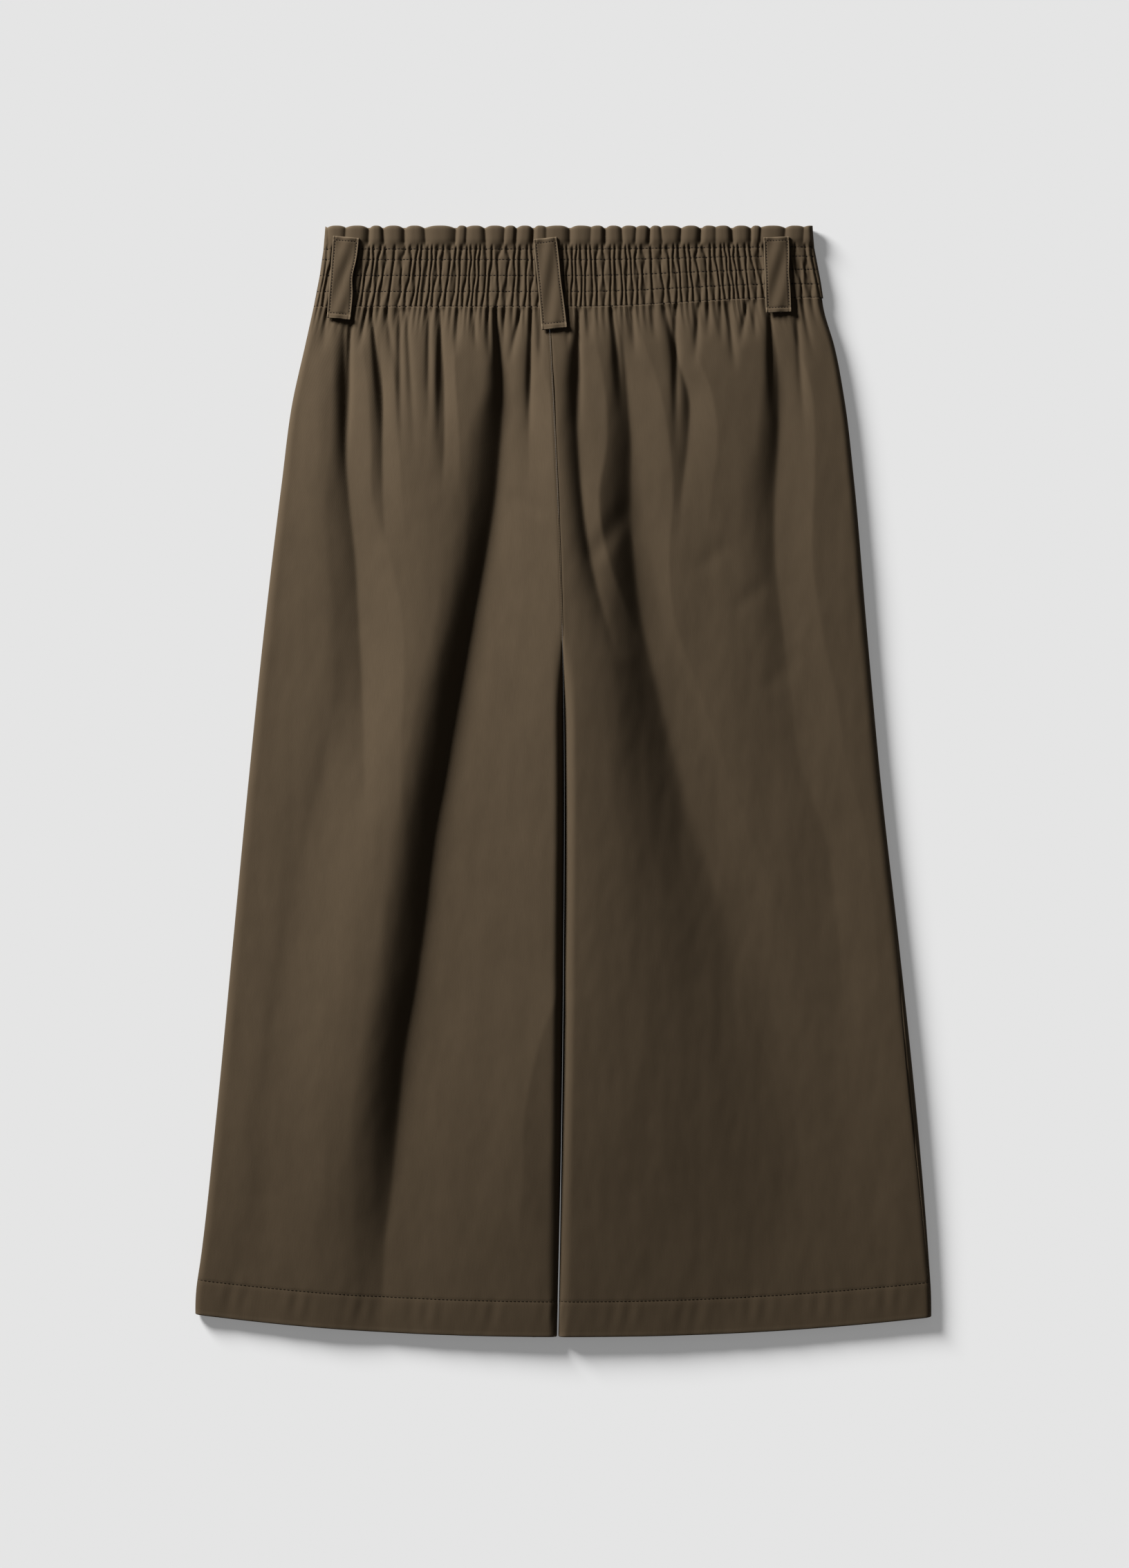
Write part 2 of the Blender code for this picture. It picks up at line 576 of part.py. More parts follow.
def seam_place(side, y):
    """How far past a leg's outermost edge the side seam lies, as a share of q."""
    if side < 0:
        return np.zeros_like(y)
    turn = follow(y, RIGHT_SEAM_TURN, "degrees")
    return ROLL_SHARE * np.clip(turn, 0, 90) / 90


def leg_panel(side, front, finish):
    """The back or the front panel of one leg."""
    outer, inner = [], []
    lines = GATHERED_LINES + SEAT_LINES + LEG_LINES + HEM_LINES
    top_y, hem_y = leg_row_y(np.zeros(1), 0.0)[0], HEM_Y
    for y in lines:
        gathered = y in GATHERED_LINES
        down = np.clip((top_y - y) / (top_y - hem_y), 0.0, 1.0)
        seam = seam_place(side, np.array(y))
        gap = ROLL_SHARE * SEAM_GAP / (math.pi * follow(y, LAY, EDGE[side]) / 2)
        start, end = (gap + seam, 1 - gap) if side < 0 else (gap, 1 - gap - seam)
        if front:
            start, end = (1 + gap, 2 - gap + seam)
            if side > 0:
                start, end = (1 + gap - seam, 2 - gap)
            columns = FRONT_TOP_COLUMNS if gathered else FRONT_COLUMNS
            q_out = q_in = rolled(start, end, columns, FRONT_ROLL)
        else:
            columns = SEAT_COLUMNS if y in SEAT_LINES or gathered else LEG_COLUMNS
            q_in = back_places(side, down, start, end, columns[side])
            q_out = rolled(start, end, GATHERED_COLUMNS, BACK_ROLL) if gathered else q_in

        wall = HEM_CLOTH if y < HEM_Y + HEM_DEPTH else CLOTH
        points = leg_point(side, q_out, np.full_like(q_out, down), gathered)
        outer.append(Row(q_out, points))
        below = max(top_y - y, 0.0)
        slack = GATHER_DEPTH * math.exp(-((below / GATHER_LENGTH) ** 2))
        off_edge = ease(np.minimum(q_in, 1 - q_in) / (2 * ROLL_SHARE))
        depth = wall + (slack * off_edge if gathered and not front else 0 * q_in)
        plain = inside_of(
            lambda q, d: leg_point(side, q, d, False),
            q_in,
            np.full_like(q_in, down),
            depth,
        )
        inner.append(Row(q_in, plain))
    name = ("front" if front else "back") + ("_left" if side < 0 else "_right") + "_leg"
    return add_solid(name, outer, inner, finish)


def pleat_places(start, end):
    """Places across the casing, two for each pleat, closer where the edges roll."""
    fine = np.linspace(0, 1, 4001)
    middle = ROLL_SHARE + fine * (1 - 2 * ROLL_SHARE)
    turns = pleat_turns(middle)
    wanted = np.arange(math.ceil(turns[0] * 2), math.floor(turns[-1] * 2) + 1) / 2
    ridges = np.interp(wanted, turns, middle)
    first = np.linspace(start, ROLL_SHARE, CASING_ROLL, endpoint=False)
    last = np.linspace(1 - ROLL_SHARE, end, CASING_ROLL + 1)[1:]
    return np.concatenate([first, ridges, last])


def casing(front, finish):
    """The back or the front of the waist, with its half of the frill."""
    outer, inner = [], []
    gap = ROLL_SHARE * SEAM_GAP / (math.pi * LAY[0].left_edge / 2)
    start, end = (1 + gap, 2 - gap) if front else (gap, 1 - gap)
    q_in = rolled(start, end, CASING_INSIDE_COLUMNS, CASING_ROLL)
    q_out = q_in if front else pleat_places(start, end)
    ripple = 0.0 if front else FRILL_EDGE_WAVE
    if not front:
        outer.append(Row(q_out, frill_lip(q_out)))
    for line in CASING_LINES["front" if front else "back"]:
        points = casing_point(q_out, np.full_like(q_out, line), ripple)
        outer.append(Row(q_out, points))
        q = q_out if line in (0.0, len(SHIRRING)) else q_in
        inner.append(Row(q, casing_inside(q, np.full_like(q, line), front)))
    return add_solid("waist_front" if front else "waist_back", outer, inner, finish)


def casing_inside(q, down, front):
    """The plain inner face of the waist."""
    skin = casing_point(q, down, 0.0)
    level = CASING_INSIDE["front" if front else "back"]
    across = np.abs(np.mod(q + 1.0, 2.0) - 1.0)
    near_edge = np.clip(np.minimum(across, 1 - across) / ROLL_SHARE, 0, 1)
    middle_x = 0.5 * (skin[0, 0] + skin[-1, 0])
    half = 0.5 * abs(skin[0, 0] - skin[-1, 0])
    scale = (half - CLOTH) / half
    x = middle_x + (skin[:, 0] - middle_x) * scale
    y = skin[:, 1] - np.where(down == 0, 2 * FRILL_EDGE_WAVE, 0.0)
    z = skin[0, 2] + (level - skin[0, 2]) * np.sin(0.5 * math.pi * near_edge)
    return np.stack([x, y, z], axis=-1)


def frill_lip(q):
    """The rippled edge of the back's frill, at the height of its plain inner face."""
    lip = casing_inside(q, np.zeros_like(q), False)
    lip[:, 1] = casing_point(q, np.zeros_like(q), FRILL_EDGE_WAVE)[:, 1]
    return lip


def belt_loop(loop, finish):
    """A strap over the casing, sewn down at both ends."""
    outer, inner = [], []
    for t in np.linspace(0, 1, LOOP_ROWS):
        width = loop.top_width + (loop.bottom_width - loop.top_width) * t
        across = np.linspace(-0.5, 0.5, LOOP_COLUMNS)
        length = math.hypot(loop.bottom_x - loop.top_x, loop.bottom_y - loop.top_y)
        lean_x = (loop.bottom_x - loop.top_x) / length
        lean_y = (loop.bottom_y - loop.top_y) / length
        x = loop.top_x + (loop.bottom_x - loop.top_x) * t - across * width * lean_y
        y = loop.top_y + (loop.bottom_y - loop.top_y) * t + across * width * lean_x
        top = shirring_y(x, SHIRRING[0])
        waves = FRILL_WAVE_DEPTH * ease((y - top) / (FRILL_Y - top))
        bow = LOOP_BOW * math.sin(math.pi * t) ** 0.7
        z = base_height(x, y) + waves + LOOP_CLEARANCE + bow
        outer.append(Row(across, np.stack([x, y, z + LOOP_CLOTH], axis=-1)))
        inner.append(Row(across, np.stack([x, y, z], axis=-1)))
    return add_solid(loop.name, outer, inner, finish)


for leftover in list(bpy.data.objects):
    bpy.data.objects.remove(leftover, do_unlink=True)
twill = material("olive_twill", TWILL)
shaded = material("olive_twill_shade", TWILL_SHADE)
for leg_side in (-1, 1):
    leg_panel(leg_side, front=False, finish=twill)
    leg_panel(leg_side, front=True, finish=shaded)
casing(front=False, finish=twill)
casing(front=True, finish=shaded)
for strap in BELT_LOOPS:
    belt_loop(strap, twill)
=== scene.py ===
import math
from collections import namedtuple

import bmesh
import bpy
import numpy as np
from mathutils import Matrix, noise


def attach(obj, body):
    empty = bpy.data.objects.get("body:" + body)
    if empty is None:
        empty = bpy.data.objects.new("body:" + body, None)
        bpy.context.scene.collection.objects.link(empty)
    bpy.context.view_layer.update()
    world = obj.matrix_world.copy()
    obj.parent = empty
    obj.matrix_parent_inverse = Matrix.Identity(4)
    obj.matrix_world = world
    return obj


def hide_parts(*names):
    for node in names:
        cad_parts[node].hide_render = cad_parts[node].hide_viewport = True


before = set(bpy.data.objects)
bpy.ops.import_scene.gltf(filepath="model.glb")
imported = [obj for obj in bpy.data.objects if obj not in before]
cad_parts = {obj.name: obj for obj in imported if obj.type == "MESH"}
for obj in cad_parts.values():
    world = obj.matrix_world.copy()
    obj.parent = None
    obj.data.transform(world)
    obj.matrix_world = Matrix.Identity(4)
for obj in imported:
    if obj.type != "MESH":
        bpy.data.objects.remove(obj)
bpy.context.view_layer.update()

# Wide-leg cropped trousers of olive cotton twill, laid flat with the back up.
# All lengths are metres: +X is to the right, +Y towards the waist, +Z up.


# ---- The room ----
# A pale grey table, one big soft lamp beyond the left of the waist, and a camera straight
# above. The table's paint evens out the lamp's fall-off, and glows a little in shadow.
VIEW_HEIGHT = 1.1022  # what the picture takes in at CLOTH_HEIGHT
VIEW_CENTRE = (0.0007, -0.0022)
CAMERA_HEIGHT = 3.0
CLOTH_HEIGHT = 0.006
LAMP_AT = (-1.81, 1.875, 1.00)
LAMP_RADIUS = 0.48
LAMP_POWER = 1020
ROOM_GLOW = 0.10
TABLE_TONE = 0.783  # what the table shows in the light
TABLE_GLOW = 0.20  # and the part of it that shadows leave
TABLE_LIGHTEST = 0.95  # the palest that the paint gets, far from the lamp
TABLE_HALF = 6.0
TABLE_DROP = 0.0002  # keeps the table clear of the cloth that lies on it

camera_data = bpy.data.cameras.new("camera")
camera_data.sensor_width = 36.0
camera_data.lens = camera_data.sensor_width * (CAMERA_HEIGHT - CLOTH_HEIGHT) / VIEW_HEIGHT
camera = bpy.data.objects.new("camera", camera_data)
camera.location = (*VIEW_CENTRE, CAMERA_HEIGHT)
bpy.context.collection.objects.link(camera)
bpy.context.scene.camera = camera
bpy.context.scene.view_settings.view_transform = "Standard"

lamp_data = bpy.data.lights.new("soft_lamp", "POINT")
lamp_data.energy = LAMP_POWER
lamp_data.shadow_soft_size = LAMP_RADIUS
lamp = bpy.data.objects.new("soft_lamp", lamp_data)
lamp.location = LAMP_AT
lamp.visible_camera = False
bpy.context.collection.objects.link(lamp)

room = bpy.data.worlds.new("room")
room.use_nodes = True
room.node_tree.nodes["Background"].inputs["Color"].default_value = (1, 1, 1, 1)
room.node_tree.nodes["Background"].inputs["Strength"].default_value = ROOM_GLOW
bpy.context.scene.world = room


def node(tree, kind, inputs, **settings):
    """Adds a shader node, with its inputs filled or joined by name or number."""
    made = tree.nodes.new(kind)
    for setting, value in settings.items():
        setattr(made, setting, value)
    for key, value in inputs.items():
        if isinstance(value, bpy.types.NodeSocket):
            tree.links.new(value, made.inputs[key])
        else:
            made.inputs[key].default_value = value
    return made


def reckon(tree, operation, *values):
    """The result of one sum on numbers or on other nodes' results."""
    return node(tree, "ShaderNodeMath", dict(enumerate(values)), operation=operation).outputs[0]


def painted_light_table():
    """Matte paint whose tone makes up for the lamp's distance: painted shade near the lamp, and a painted
    glow that lifts the shadows on it.
    """
    paint = bpy.data.materials.new("pale_table_painted_light")
    paint.use_nodes = True
    tree = paint.node_tree
    shader = tree.nodes["Principled BSDF"]
    place = node(tree, "ShaderNodeTexCoord", {}).outputs["Object"]
    away = node(tree, "ShaderNodeVectorMath", {0: place, 1: LAMP_AT}, operation="DISTANCE")
    distance = away.outputs["Value"]
    spread = reckon(tree, "MULTIPLY_ADD", distance, distance, LAMP_RADIUS**2)
    strength = LAMP_POWER / (4 * math.pi**2) * LAMP_AT[2]
    lit = reckon(tree, "DIVIDE", strength, reckon(tree, "MULTIPLY", spread, distance))
    total = reckon(tree, "ADD", lit, ROOM_GLOW)
    # Painted shade: the paint is darker where the lamp is nearer, which cancels its fall-off.
    tone = reckon(tree, "DIVIDE", TABLE_TONE - TABLE_GLOW, total)
    tree.links.new(reckon(tree, "MINIMUM", tone, TABLE_LIGHTEST), shader.inputs["Base Color"])
    shader.inputs["Roughness"].default_value = 1.0
    shader.inputs["Specular IOR Level"].default_value = 0.0
    # Painted light: the table glows evenly, which lifts the shadows cast on it.
    shader.inputs["Emission Color"].default_value = (1, 1, 1, 1)
    shader.inputs["Emission Strength"].default_value = TABLE_GLOW
    return paint


table_mesh = bmesh.new()
bmesh.ops.create_grid(table_mesh, x_segments=1, y_segments=1, size=TABLE_HALF)
bmesh.ops.translate(table_mesh, verts=table_mesh.verts, vec=(0, 0, -TABLE_DROP))
table_data = bpy.data.meshes.new("table_top")
table_mesh.to_mesh(table_data)
table_mesh.free()
table_data.materials.append(painted_light_table())
table_top = bpy.data.objects.new("table_top", table_data)
bpy.context.collection.objects.link(table_top)


# ---- Front legs ----
# The two front panels lie face down on the table and turn up at their side seams.
# They are cut from olive cotton twill, with the hem turned up inside.
Outline = namedtuple("Outline", "y left right")
OUTLINE = [
    Outline(0.39, -0.1675, 0.1752),
    Outline(0.3735, -0.1689, 0.1764),
    Outline(0.3443, -0.1735, 0.1812),
    Outline(0.3327, -0.1759, 0.1828),
    Outline(0.3059, -0.1818, 0.1905),
    Outline(0.2671, -0.1905, 0.1978),
    Outline(0.2087, -0.1983, 0.2046),
    Outline(0.1115, -0.21, 0.2129),
    Outline(-0.0051, -0.2221, 0.2236),
    Outline(-0.1217, -0.2333, 0.2367),
    Outline(-0.2384, -0.2445, 0.2488),
    Outline(-0.3356, -0.2552, 0.2569),
    Outline(-0.36, -0.2586, 0.2585),
    Outline(-0.39, -0.2588, 0.2588),
]
SIDE_X = 0.2588
ROLL_SHARE = 0.06  # part of the way across a panel that each rolled edge takes

# Centre-back seam, carried on as the line between the legs, and half the gap beside it.
Middle = namedtuple("Middle", "y x half_gap")
MIDDLE = [
    Middle(0.39, -0.0136, 0.00005),
    Middle(0.3157, -0.0097, 0.00005),
    Middle(0.2185, -0.0049, 0.00005),
    Middle(0.063, 0.0, 0.00005),
    Middle(-0.13, 0.0, 0.0001),
    Middle(-0.248, -0.0014, 0.00018),
    Middle(-0.39, -0.0041, 0.00055),
]
SEAT_END_Y, CROTCH_Y = 0.110, 0.034
INNER_ROLL = 0.008  # the widest that the edges between the legs curl
INNER_CURL = 0.7  # and the widest in heights of the inner ridge
INNER_SEAM_Z = 0.0090  # the inseams' height, and less near the hem

# How the back lies, as heights over the table at lines that run down it: both rolled
# edges, a shelf, a ridge beside the left leg's deep fold, the inner ridge beside the
# middle, and the foot and the flat of the right leg. roll is how wide the edges curl.
Lay = namedtuple(
    "Lay", "y left_edge shelf_x shelf ridge_x ridge inner_x inner foot_x foot flat_x flat right_edge roll"
)
LAY = [
    Lay(0.39, 0.008, -0.153, 0.0083, -0.085, 0.0084, -0.01, 0.0084,
        0.044, 0.0084, 0.119, 0.0083, 0.008, 0.004),
    Lay(0.3332, 0.008, -0.153, 0.0084, -0.085, 0.0086, -0.007, 0.0085,
        0.044, 0.0084, 0.119, 0.0084, 0.008, 0.004),
    Lay(0.305, 0.0082, -0.158, 0.0105, -0.085, 0.0125, -0.007, 0.012,
        0.044, 0.01, 0.114, 0.0105, 0.0082, 0.0045),
    Lay(0.257, 0.0083, -0.167, 0.012, -0.085, 0.0155, -0.007, 0.0152,
        0.044, 0.0112, 0.114, 0.011, 0.0085, 0.005),
    Lay(0.16, 0.0075, -0.163, 0.0115, -0.087, 0.019, -0.001, 0.02,
        0.063, 0.0078, 0.116, 0.0092, 0.0088, 0.006),
    Lay(0.063, 0.007, -0.16, 0.011, -0.102, 0.0215, 0.008, 0.0232,
        0.079, 0.0054, 0.121, 0.0075, 0.0088, 0.0065),
    Lay(-0.034, 0.007, -0.182, 0.009, -0.114, 0.022, 0.013, 0.023,
        0.104, 0.0054, 0.14, 0.0064, 0.0088, 0.0065),
    Lay(-0.131, 0.007, -0.202, 0.009, -0.128, 0.0205, 0.013, 0.0222,
        0.143, 0.0052, 0.167, 0.0056, 0.0092, 0.0065),
    Lay(-0.229, 0.007, -0.214, 0.009, -0.142, 0.0172, 0.015, 0.0194,
        0.172, 0.006, 0.189, 0.0062, 0.0094, 0.0065),
    Lay(-0.326, 0.0064, -0.221, 0.0068, -0.158, 0.0108, 0.017, 0.013,
        0.18, 0.0064, 0.194, 0.0064, 0.0084, 0.0055),
    Lay(-0.39, 0.0058, -0.226, 0.0056, -0.163, 0.007, 0.017, 0.0086,
        0.174, 0.007, 0.194, 0.0066, 0.0064, 0.0042),
]

# How far round the right side's rolled edge the seam has turned onto the top, in degrees.
SeamTurn = namedtuple("SeamTurn", "y degrees")
RIGHT_SEAM_TURN = [
    SeamTurn(-0.39, 36),
    SeamTurn(-0.3, 58),
    SeamTurn(-0.21, 66),
    SeamTurn(-0.13, 40),
    SeamTurn(-0.08, 0),
]

WAIST_Y, WAIST_RISE = 0.3332, 0.0063  # the lowest shirring, and its rise to the right
RISE_FROM, RISE_OVER = 0.01, 0.15
HEM_Y = -0.3900
HEM_DEPTH = 0.0245
HEM_SWEEP = {-1: 0.0156, 1: 0.0138}
HEM_CURVE = 2.2
HEM_LAYER = 0.0017  # from the outer face to the turned-up layer
# The hem's fold, as how far in and how far past the edge in layers, and the turned-up
# layer's lines in hem depths.
HEM_FOLD = [(0.15, 0.35), (0.5, 0.5), (0.85, 0.35)]
HEM_BACK_UP = [0.0, 0.12, 0.35, 0.62, 0.85, 1.0]
CLOTH_THICK = 0.0007
RIB_PITCH, RIB_LEAN, RIB_SHARE = 0.0010, -0.55, 0.5
YARN_OFTEN = (1500, 110, 1)  # how often the yarns vary across, along and in depth
MOTTLE_OFTEN = 38.0
YARN_COLOUR, MOTTLE_COLOUR = 0.55, 0.45  # how much of the colour's unevenness each gives
WEAVE_DEPTH = 0.00012


def ease(t):
    """0 to 1 with level ends."""
    t = np.clip(t, 0.0, 1.0)
    return t * t * (3.0 - 2.0 * t)


def follow(y, table, column):
    """A smooth line through one column of a table that is given from high y to low."""
    stations = sorted(table)
    ys = np.array([s.y for s in stations])
    values = np.array([getattr(s, column) for s in stations])
    slopes = np.gradient(values, ys)
    i = np.clip(np.searchsorted(ys, y) - 1, 0, len(ys) - 2)
    span = ys[i + 1] - ys[i]
    t = np.clip((y - ys[i]) / span, 0.0, 1.0)
    start = values[i] * (1 + 2 * t) * (1 - t) ** 2 + slopes[i] * span * t * (1 - t) ** 2
    end = values[i + 1] * t**2 * (3 - 2 * t) + slopes[i + 1] * span * t**2 * (t - 1)
    return start + end


def share_across(x, y):
    """0 at the left outline and 1 at the right."""
    left, right = follow(y, OUTLINE, "left"), follow(y, OUTLINE, "right")
    return (x - left) / (right - left)


FALL, FALL_SKEW = 3, 1.3  # the fall from the inner ridge is steepest towards its foot


def base_height(x, y):
    """The back without its folds and gathers."""
    places = [follow(y, OUTLINE, "left")]
    places += [follow(y, LAY, column) for column in ("shelf_x", "ridge_x", "inner_x", "foot_x", "flat_x")]
    places = np.array(places + [follow(y, OUTLINE, "right")])
    columns = ("left_edge", "shelf", "ridge", "inner", "foot", "flat", "right_edge")
    heights = np.array([follow(y, LAY, column) for column in columns])
    i = np.clip(np.sum(x >= places, axis=0) - 1, 0, len(places) - 2)[None]
    start, end = (np.take_along_axis(places, i + k, axis=0)[0] for k in (0, 1))
    low, high = (np.take_along_axis(heights, i + k, axis=0)[0] for k in (0, 1))
    t = np.clip((x - start) / (end - start), 0.0, 1.0)
    return low + (high - low) * ease(t ** np.where(i[0] == FALL, FALL_SKEW, 1.0))


def flat_tube(q, left, right, left_roll, right_roll):
    """Where a point lies round a flattened tube: q is 0 to 1 over it and 1 to 2 under it.

    Gives x, how far up each edge's roll the point is, and whether it is on top.
    """
    across = np.abs(np.mod(q + 1.0, 2.0) - 1.0)
    on_top = np.mod(q, 2.0) <= 1.0
    turn_left = 0.5 * math.pi * np.clip(across / ROLL_SHARE, 0, 1)
    turn_right = 0.5 * math.pi * np.clip((1.0 - across) / ROLL_SHARE, 0, 1)
    t = np.clip((across - ROLL_SHARE) / (1.0 - 2.0 * ROLL_SHARE), 0, 1)
    middle = (left + left_roll) * (1 - t) + (right - right_roll) * t
    x = np.where(
        across < ROLL_SHARE,
        left + left_roll * (1 - np.cos(turn_left)),
        np.where(
            across > 1 - ROLL_SHARE,
            right - right_roll * (1 - np.cos(turn_right)),
            middle,
        ),
    )
    return x, np.sin(turn_left), np.sin(turn_right), on_top


def waist_y(x):
    """Height of the lowest row of shirring at x."""
    return WAIST_Y + WAIST_RISE * ease((x - RISE_FROM) / RISE_OVER)


def leg_row_y(x, down):
    """Height of a line across a leg: the lowest shirring at 0, and the hem at 1."""
    sweep = np.where(x < 0, HEM_SWEEP[-1], HEM_SWEEP[1])
    hem = HEM_Y + sweep * (np.abs(x) / SIDE_X) ** HEM_CURVE
    return waist_y(x) + (hem - waist_y(x)) * down


def leg_edges(side, down):
    """The left and the right edge of a leg, and how wide each one's roll is."""
    column = "left" if side < 0 else "right"
    y = leg_row_y(np.full_like(down, side * SIDE_X), down)
    y = leg_row_y(follow(y, OUTLINE, column), down)
    outer, roll = follow(y, OUTLINE, column), follow(y, LAY, "roll")
    y = leg_row_y(np.zeros_like(down), down)
    inner = follow(y, MIDDLE, "x") + side * follow(y, MIDDLE, "half_gap")
    inner_roll = np.minimum(INNER_ROLL, INNER_CURL * follow(y, LAY, "inner"))
    if side < 0:
        return outer, inner, roll, inner_roll
    return inner, outer, inner_roll, roll


EDGE = {-1: "left_edge", 1: "right_edge"}


def leg_point(side, q, down, height):
    """A point of a leg's outer face. side is -1 for the left leg and 1 for the right."""
    x, up_outer, up_inner, on_top = flat_tube(q, *leg_edges(side, down))
    if side > 0:
        up_outer, up_inner = up_inner, up_outer
    y = leg_row_y(x, down)
    middle_y = leg_row_y(np.zeros_like(q), down)
    split = ease((SEAT_END_Y - middle_y) / (SEAT_END_Y - CROTCH_Y))
    seam_z = follow(y, LAY, EDGE[side]) / 2
    up_inner = 1 - split * (1 - up_inner)
    over = seam_z + (height(x, y) - seam_z) * up_outer
    inner_z = np.minimum(INNER_SEAM_Z, follow(y, LAY, "inner") / 2)
    over = inner_z + (over - inner_z) * up_inner
    under = seam_z * (1 - up_outer) + inner_z * (1 - up_inner)
    return np.stack([x, y, np.where(on_top, over, under)], axis=-1)


def moved_in(point, q, down, depth):
    """Points of a face, moved straight in from it by depth."""
    step = 1e-4
    along = point(q + step, down) - point(q - step, down)
    downward = point(q, down + step) - point(q, down - step)
    normal = np.cross(downward, along)
    normal /= np.maximum(np.linalg.norm(normal, axis=-1, keepdims=True), 1e-12)
    return point(q, down) - normal * depth[:, None]


def seam_place(side, down):
    """How far past a leg's outermost edge the side seam lies, as a share of q."""
    if side < 0:
        return np.zeros_like(down)
    y = leg_row_y(np.zeros_like(down), down)
    return ROLL_SHARE * np.clip(follow(y, RIGHT_SEAM_TURN, "degrees"), 0, 90) / 90


def steps(*stretches):
    """Places from (start, end, count) stretches, which follow on from each other."""
    places = [np.linspace(a, b, n, endpoint=False) for a, b, n in stretches]
    return np.concatenate([*places, [stretches[-1][1]]])


def columns_across(edge, middle):
    """Places across a panel: edge steps round each rolled edge, and middle steps between."""
    return steps((0.0, ROLL_SHARE, edge), (ROLL_SHARE, 1 - ROLL_SHARE, middle), (1 - ROLL_SHARE, 1.0, edge))


def hem_walk(line_places):
    """How far down, how far in and how far past the fold each line of a panel lies."""
    hem_share = HEM_DEPTH / (WAIST_Y - HEM_Y)
    fold = [(1.0, deep, past) for deep, past in HEM_FOLD]
    back_up = [(1.0 - hem_share * t, 1.0, 0.0) for t in HEM_BACK_UP]
    walk = [(p, 0.0, 0.0) for p in line_places] + fold + back_up
    down, deep, past = np.array(walk).T
    return down, deep * HEM_LAYER, past * HEM_LAYER


def cloth_piece(name, columns, lines, lay, thick):
    """A cloth shell: a flat grid whose corners are laid by lay(column, line)."""
    mesh = bmesh.new()
    bmesh.ops.create_grid(mesh, x_segments=columns, y_segments=lines, size=0.5)
    data = bpy.data.meshes.new(name)
    mesh.to_mesh(data)
    mesh.free()
    corners = np.empty(len(data.vertices) * 3)
    data.vertices.foreach_get("co", corners)
    corners = corners.reshape(-1, 3)
    column = np.rint((corners[:, 0] + 0.5) * columns).astype(int)
    line = np.rint((0.5 - corners[:, 1]) * lines).astype(int)
    points, pattern, wear = lay(column, line)
    data.vertices.foreach_set("co", points.ravel())
    pattern_map = data.uv_layers.new(name="pattern")
    loop_corners = np.empty(len(data.loops), dtype=int)
    data.loops.foreach_get("vertex_index", loop_corners)
    pattern_map.data.foreach_set("uv", pattern[loop_corners].ravel())
    worn = data.attributes.new("wear", "FLOAT", "POINT")
    worn.data.foreach_set("value", wear)
    data.shade_smooth()
    data.update()
    piece = bpy.data.objects.new(name, data)
    bpy.context.collection.objects.link(piece)
    if thick:
        wall = piece.modifiers.new("thickness", "SOLIDIFY")
        wall.thickness = thick
        wall.offset = -1.0
    return piece


def twill_weave():
    """Diagonal ribs, uneven yarns and faint mottling, on the cloth's own pattern map."""
    group = bpy.data.node_groups.new("twill_weave", "ShaderNodeTree")
    sockets = group.interface
    sockets.new_socket("Place", in_out="INPUT", socket_type="NodeSocketVector")
    sockets.new_socket("Rib Pitch", in_out="INPUT", socket_type="NodeSocketFloat")
    for name in ("Relief", "Yarn", "Mottle"):
        sockets.new_socket(name, in_out="OUTPUT", socket_type="NodeSocketFloat")
    given = group.nodes.new("NodeGroupInput").outputs
    result = group.nodes.new("NodeGroupOutput").inputs
    place = node(group, "ShaderNodeSeparateXYZ", {0: given["Place"]}).outputs
    lean = reckon(group, "MULTIPLY_ADD", place["Y"], RIB_LEAN, place["X"])
    turns = reckon(group, "DIVIDE", lean, given["Rib Pitch"])
    rib = reckon(group, "SINE", reckon(group, "MULTIPLY", turns, 2 * math.pi))
    often = {0: given["Place"], 1: YARN_OFTEN}
    stretched = node(group, "ShaderNodeVectorMath", often, operation="MULTIPLY").outputs[0]
    yarn = node(group, "ShaderNodeTexNoise", {"Vector": stretched, "Scale": 1.0, "Detail": 2.0})
    coarse = {"Vector": given["Place"], "Scale": MOTTLE_OFTEN, "Detail": 3.0}
    mottle = node(group, "ShaderNodeTexNoise", coarse)
    group.links.new(reckon(group, "MULTIPLY_ADD", rib, RIB_SHARE, yarn.outputs[0]), result["Relief"])
    group.links.new(yarn.outputs[0], result["Yarn"])
    group.links.new(mottle.outputs[0], result["Mottle"])
    return group


twill_group = twill_weave()


def blend_colours(tree, factor, first, second):
    """A colour between two others."""
    mix = node(tree, "ShaderNodeMix", {}, data_type="RGBA")
    for socket, value in zip((mix.inputs[0], mix.inputs[6], mix.inputs[7]), (factor, first, second)):
        if isinstance(value, bpy.types.NodeSocket):
            tree.links.new(value, socket)
        else:
            socket.default_value = value
    return mix.outputs[2]


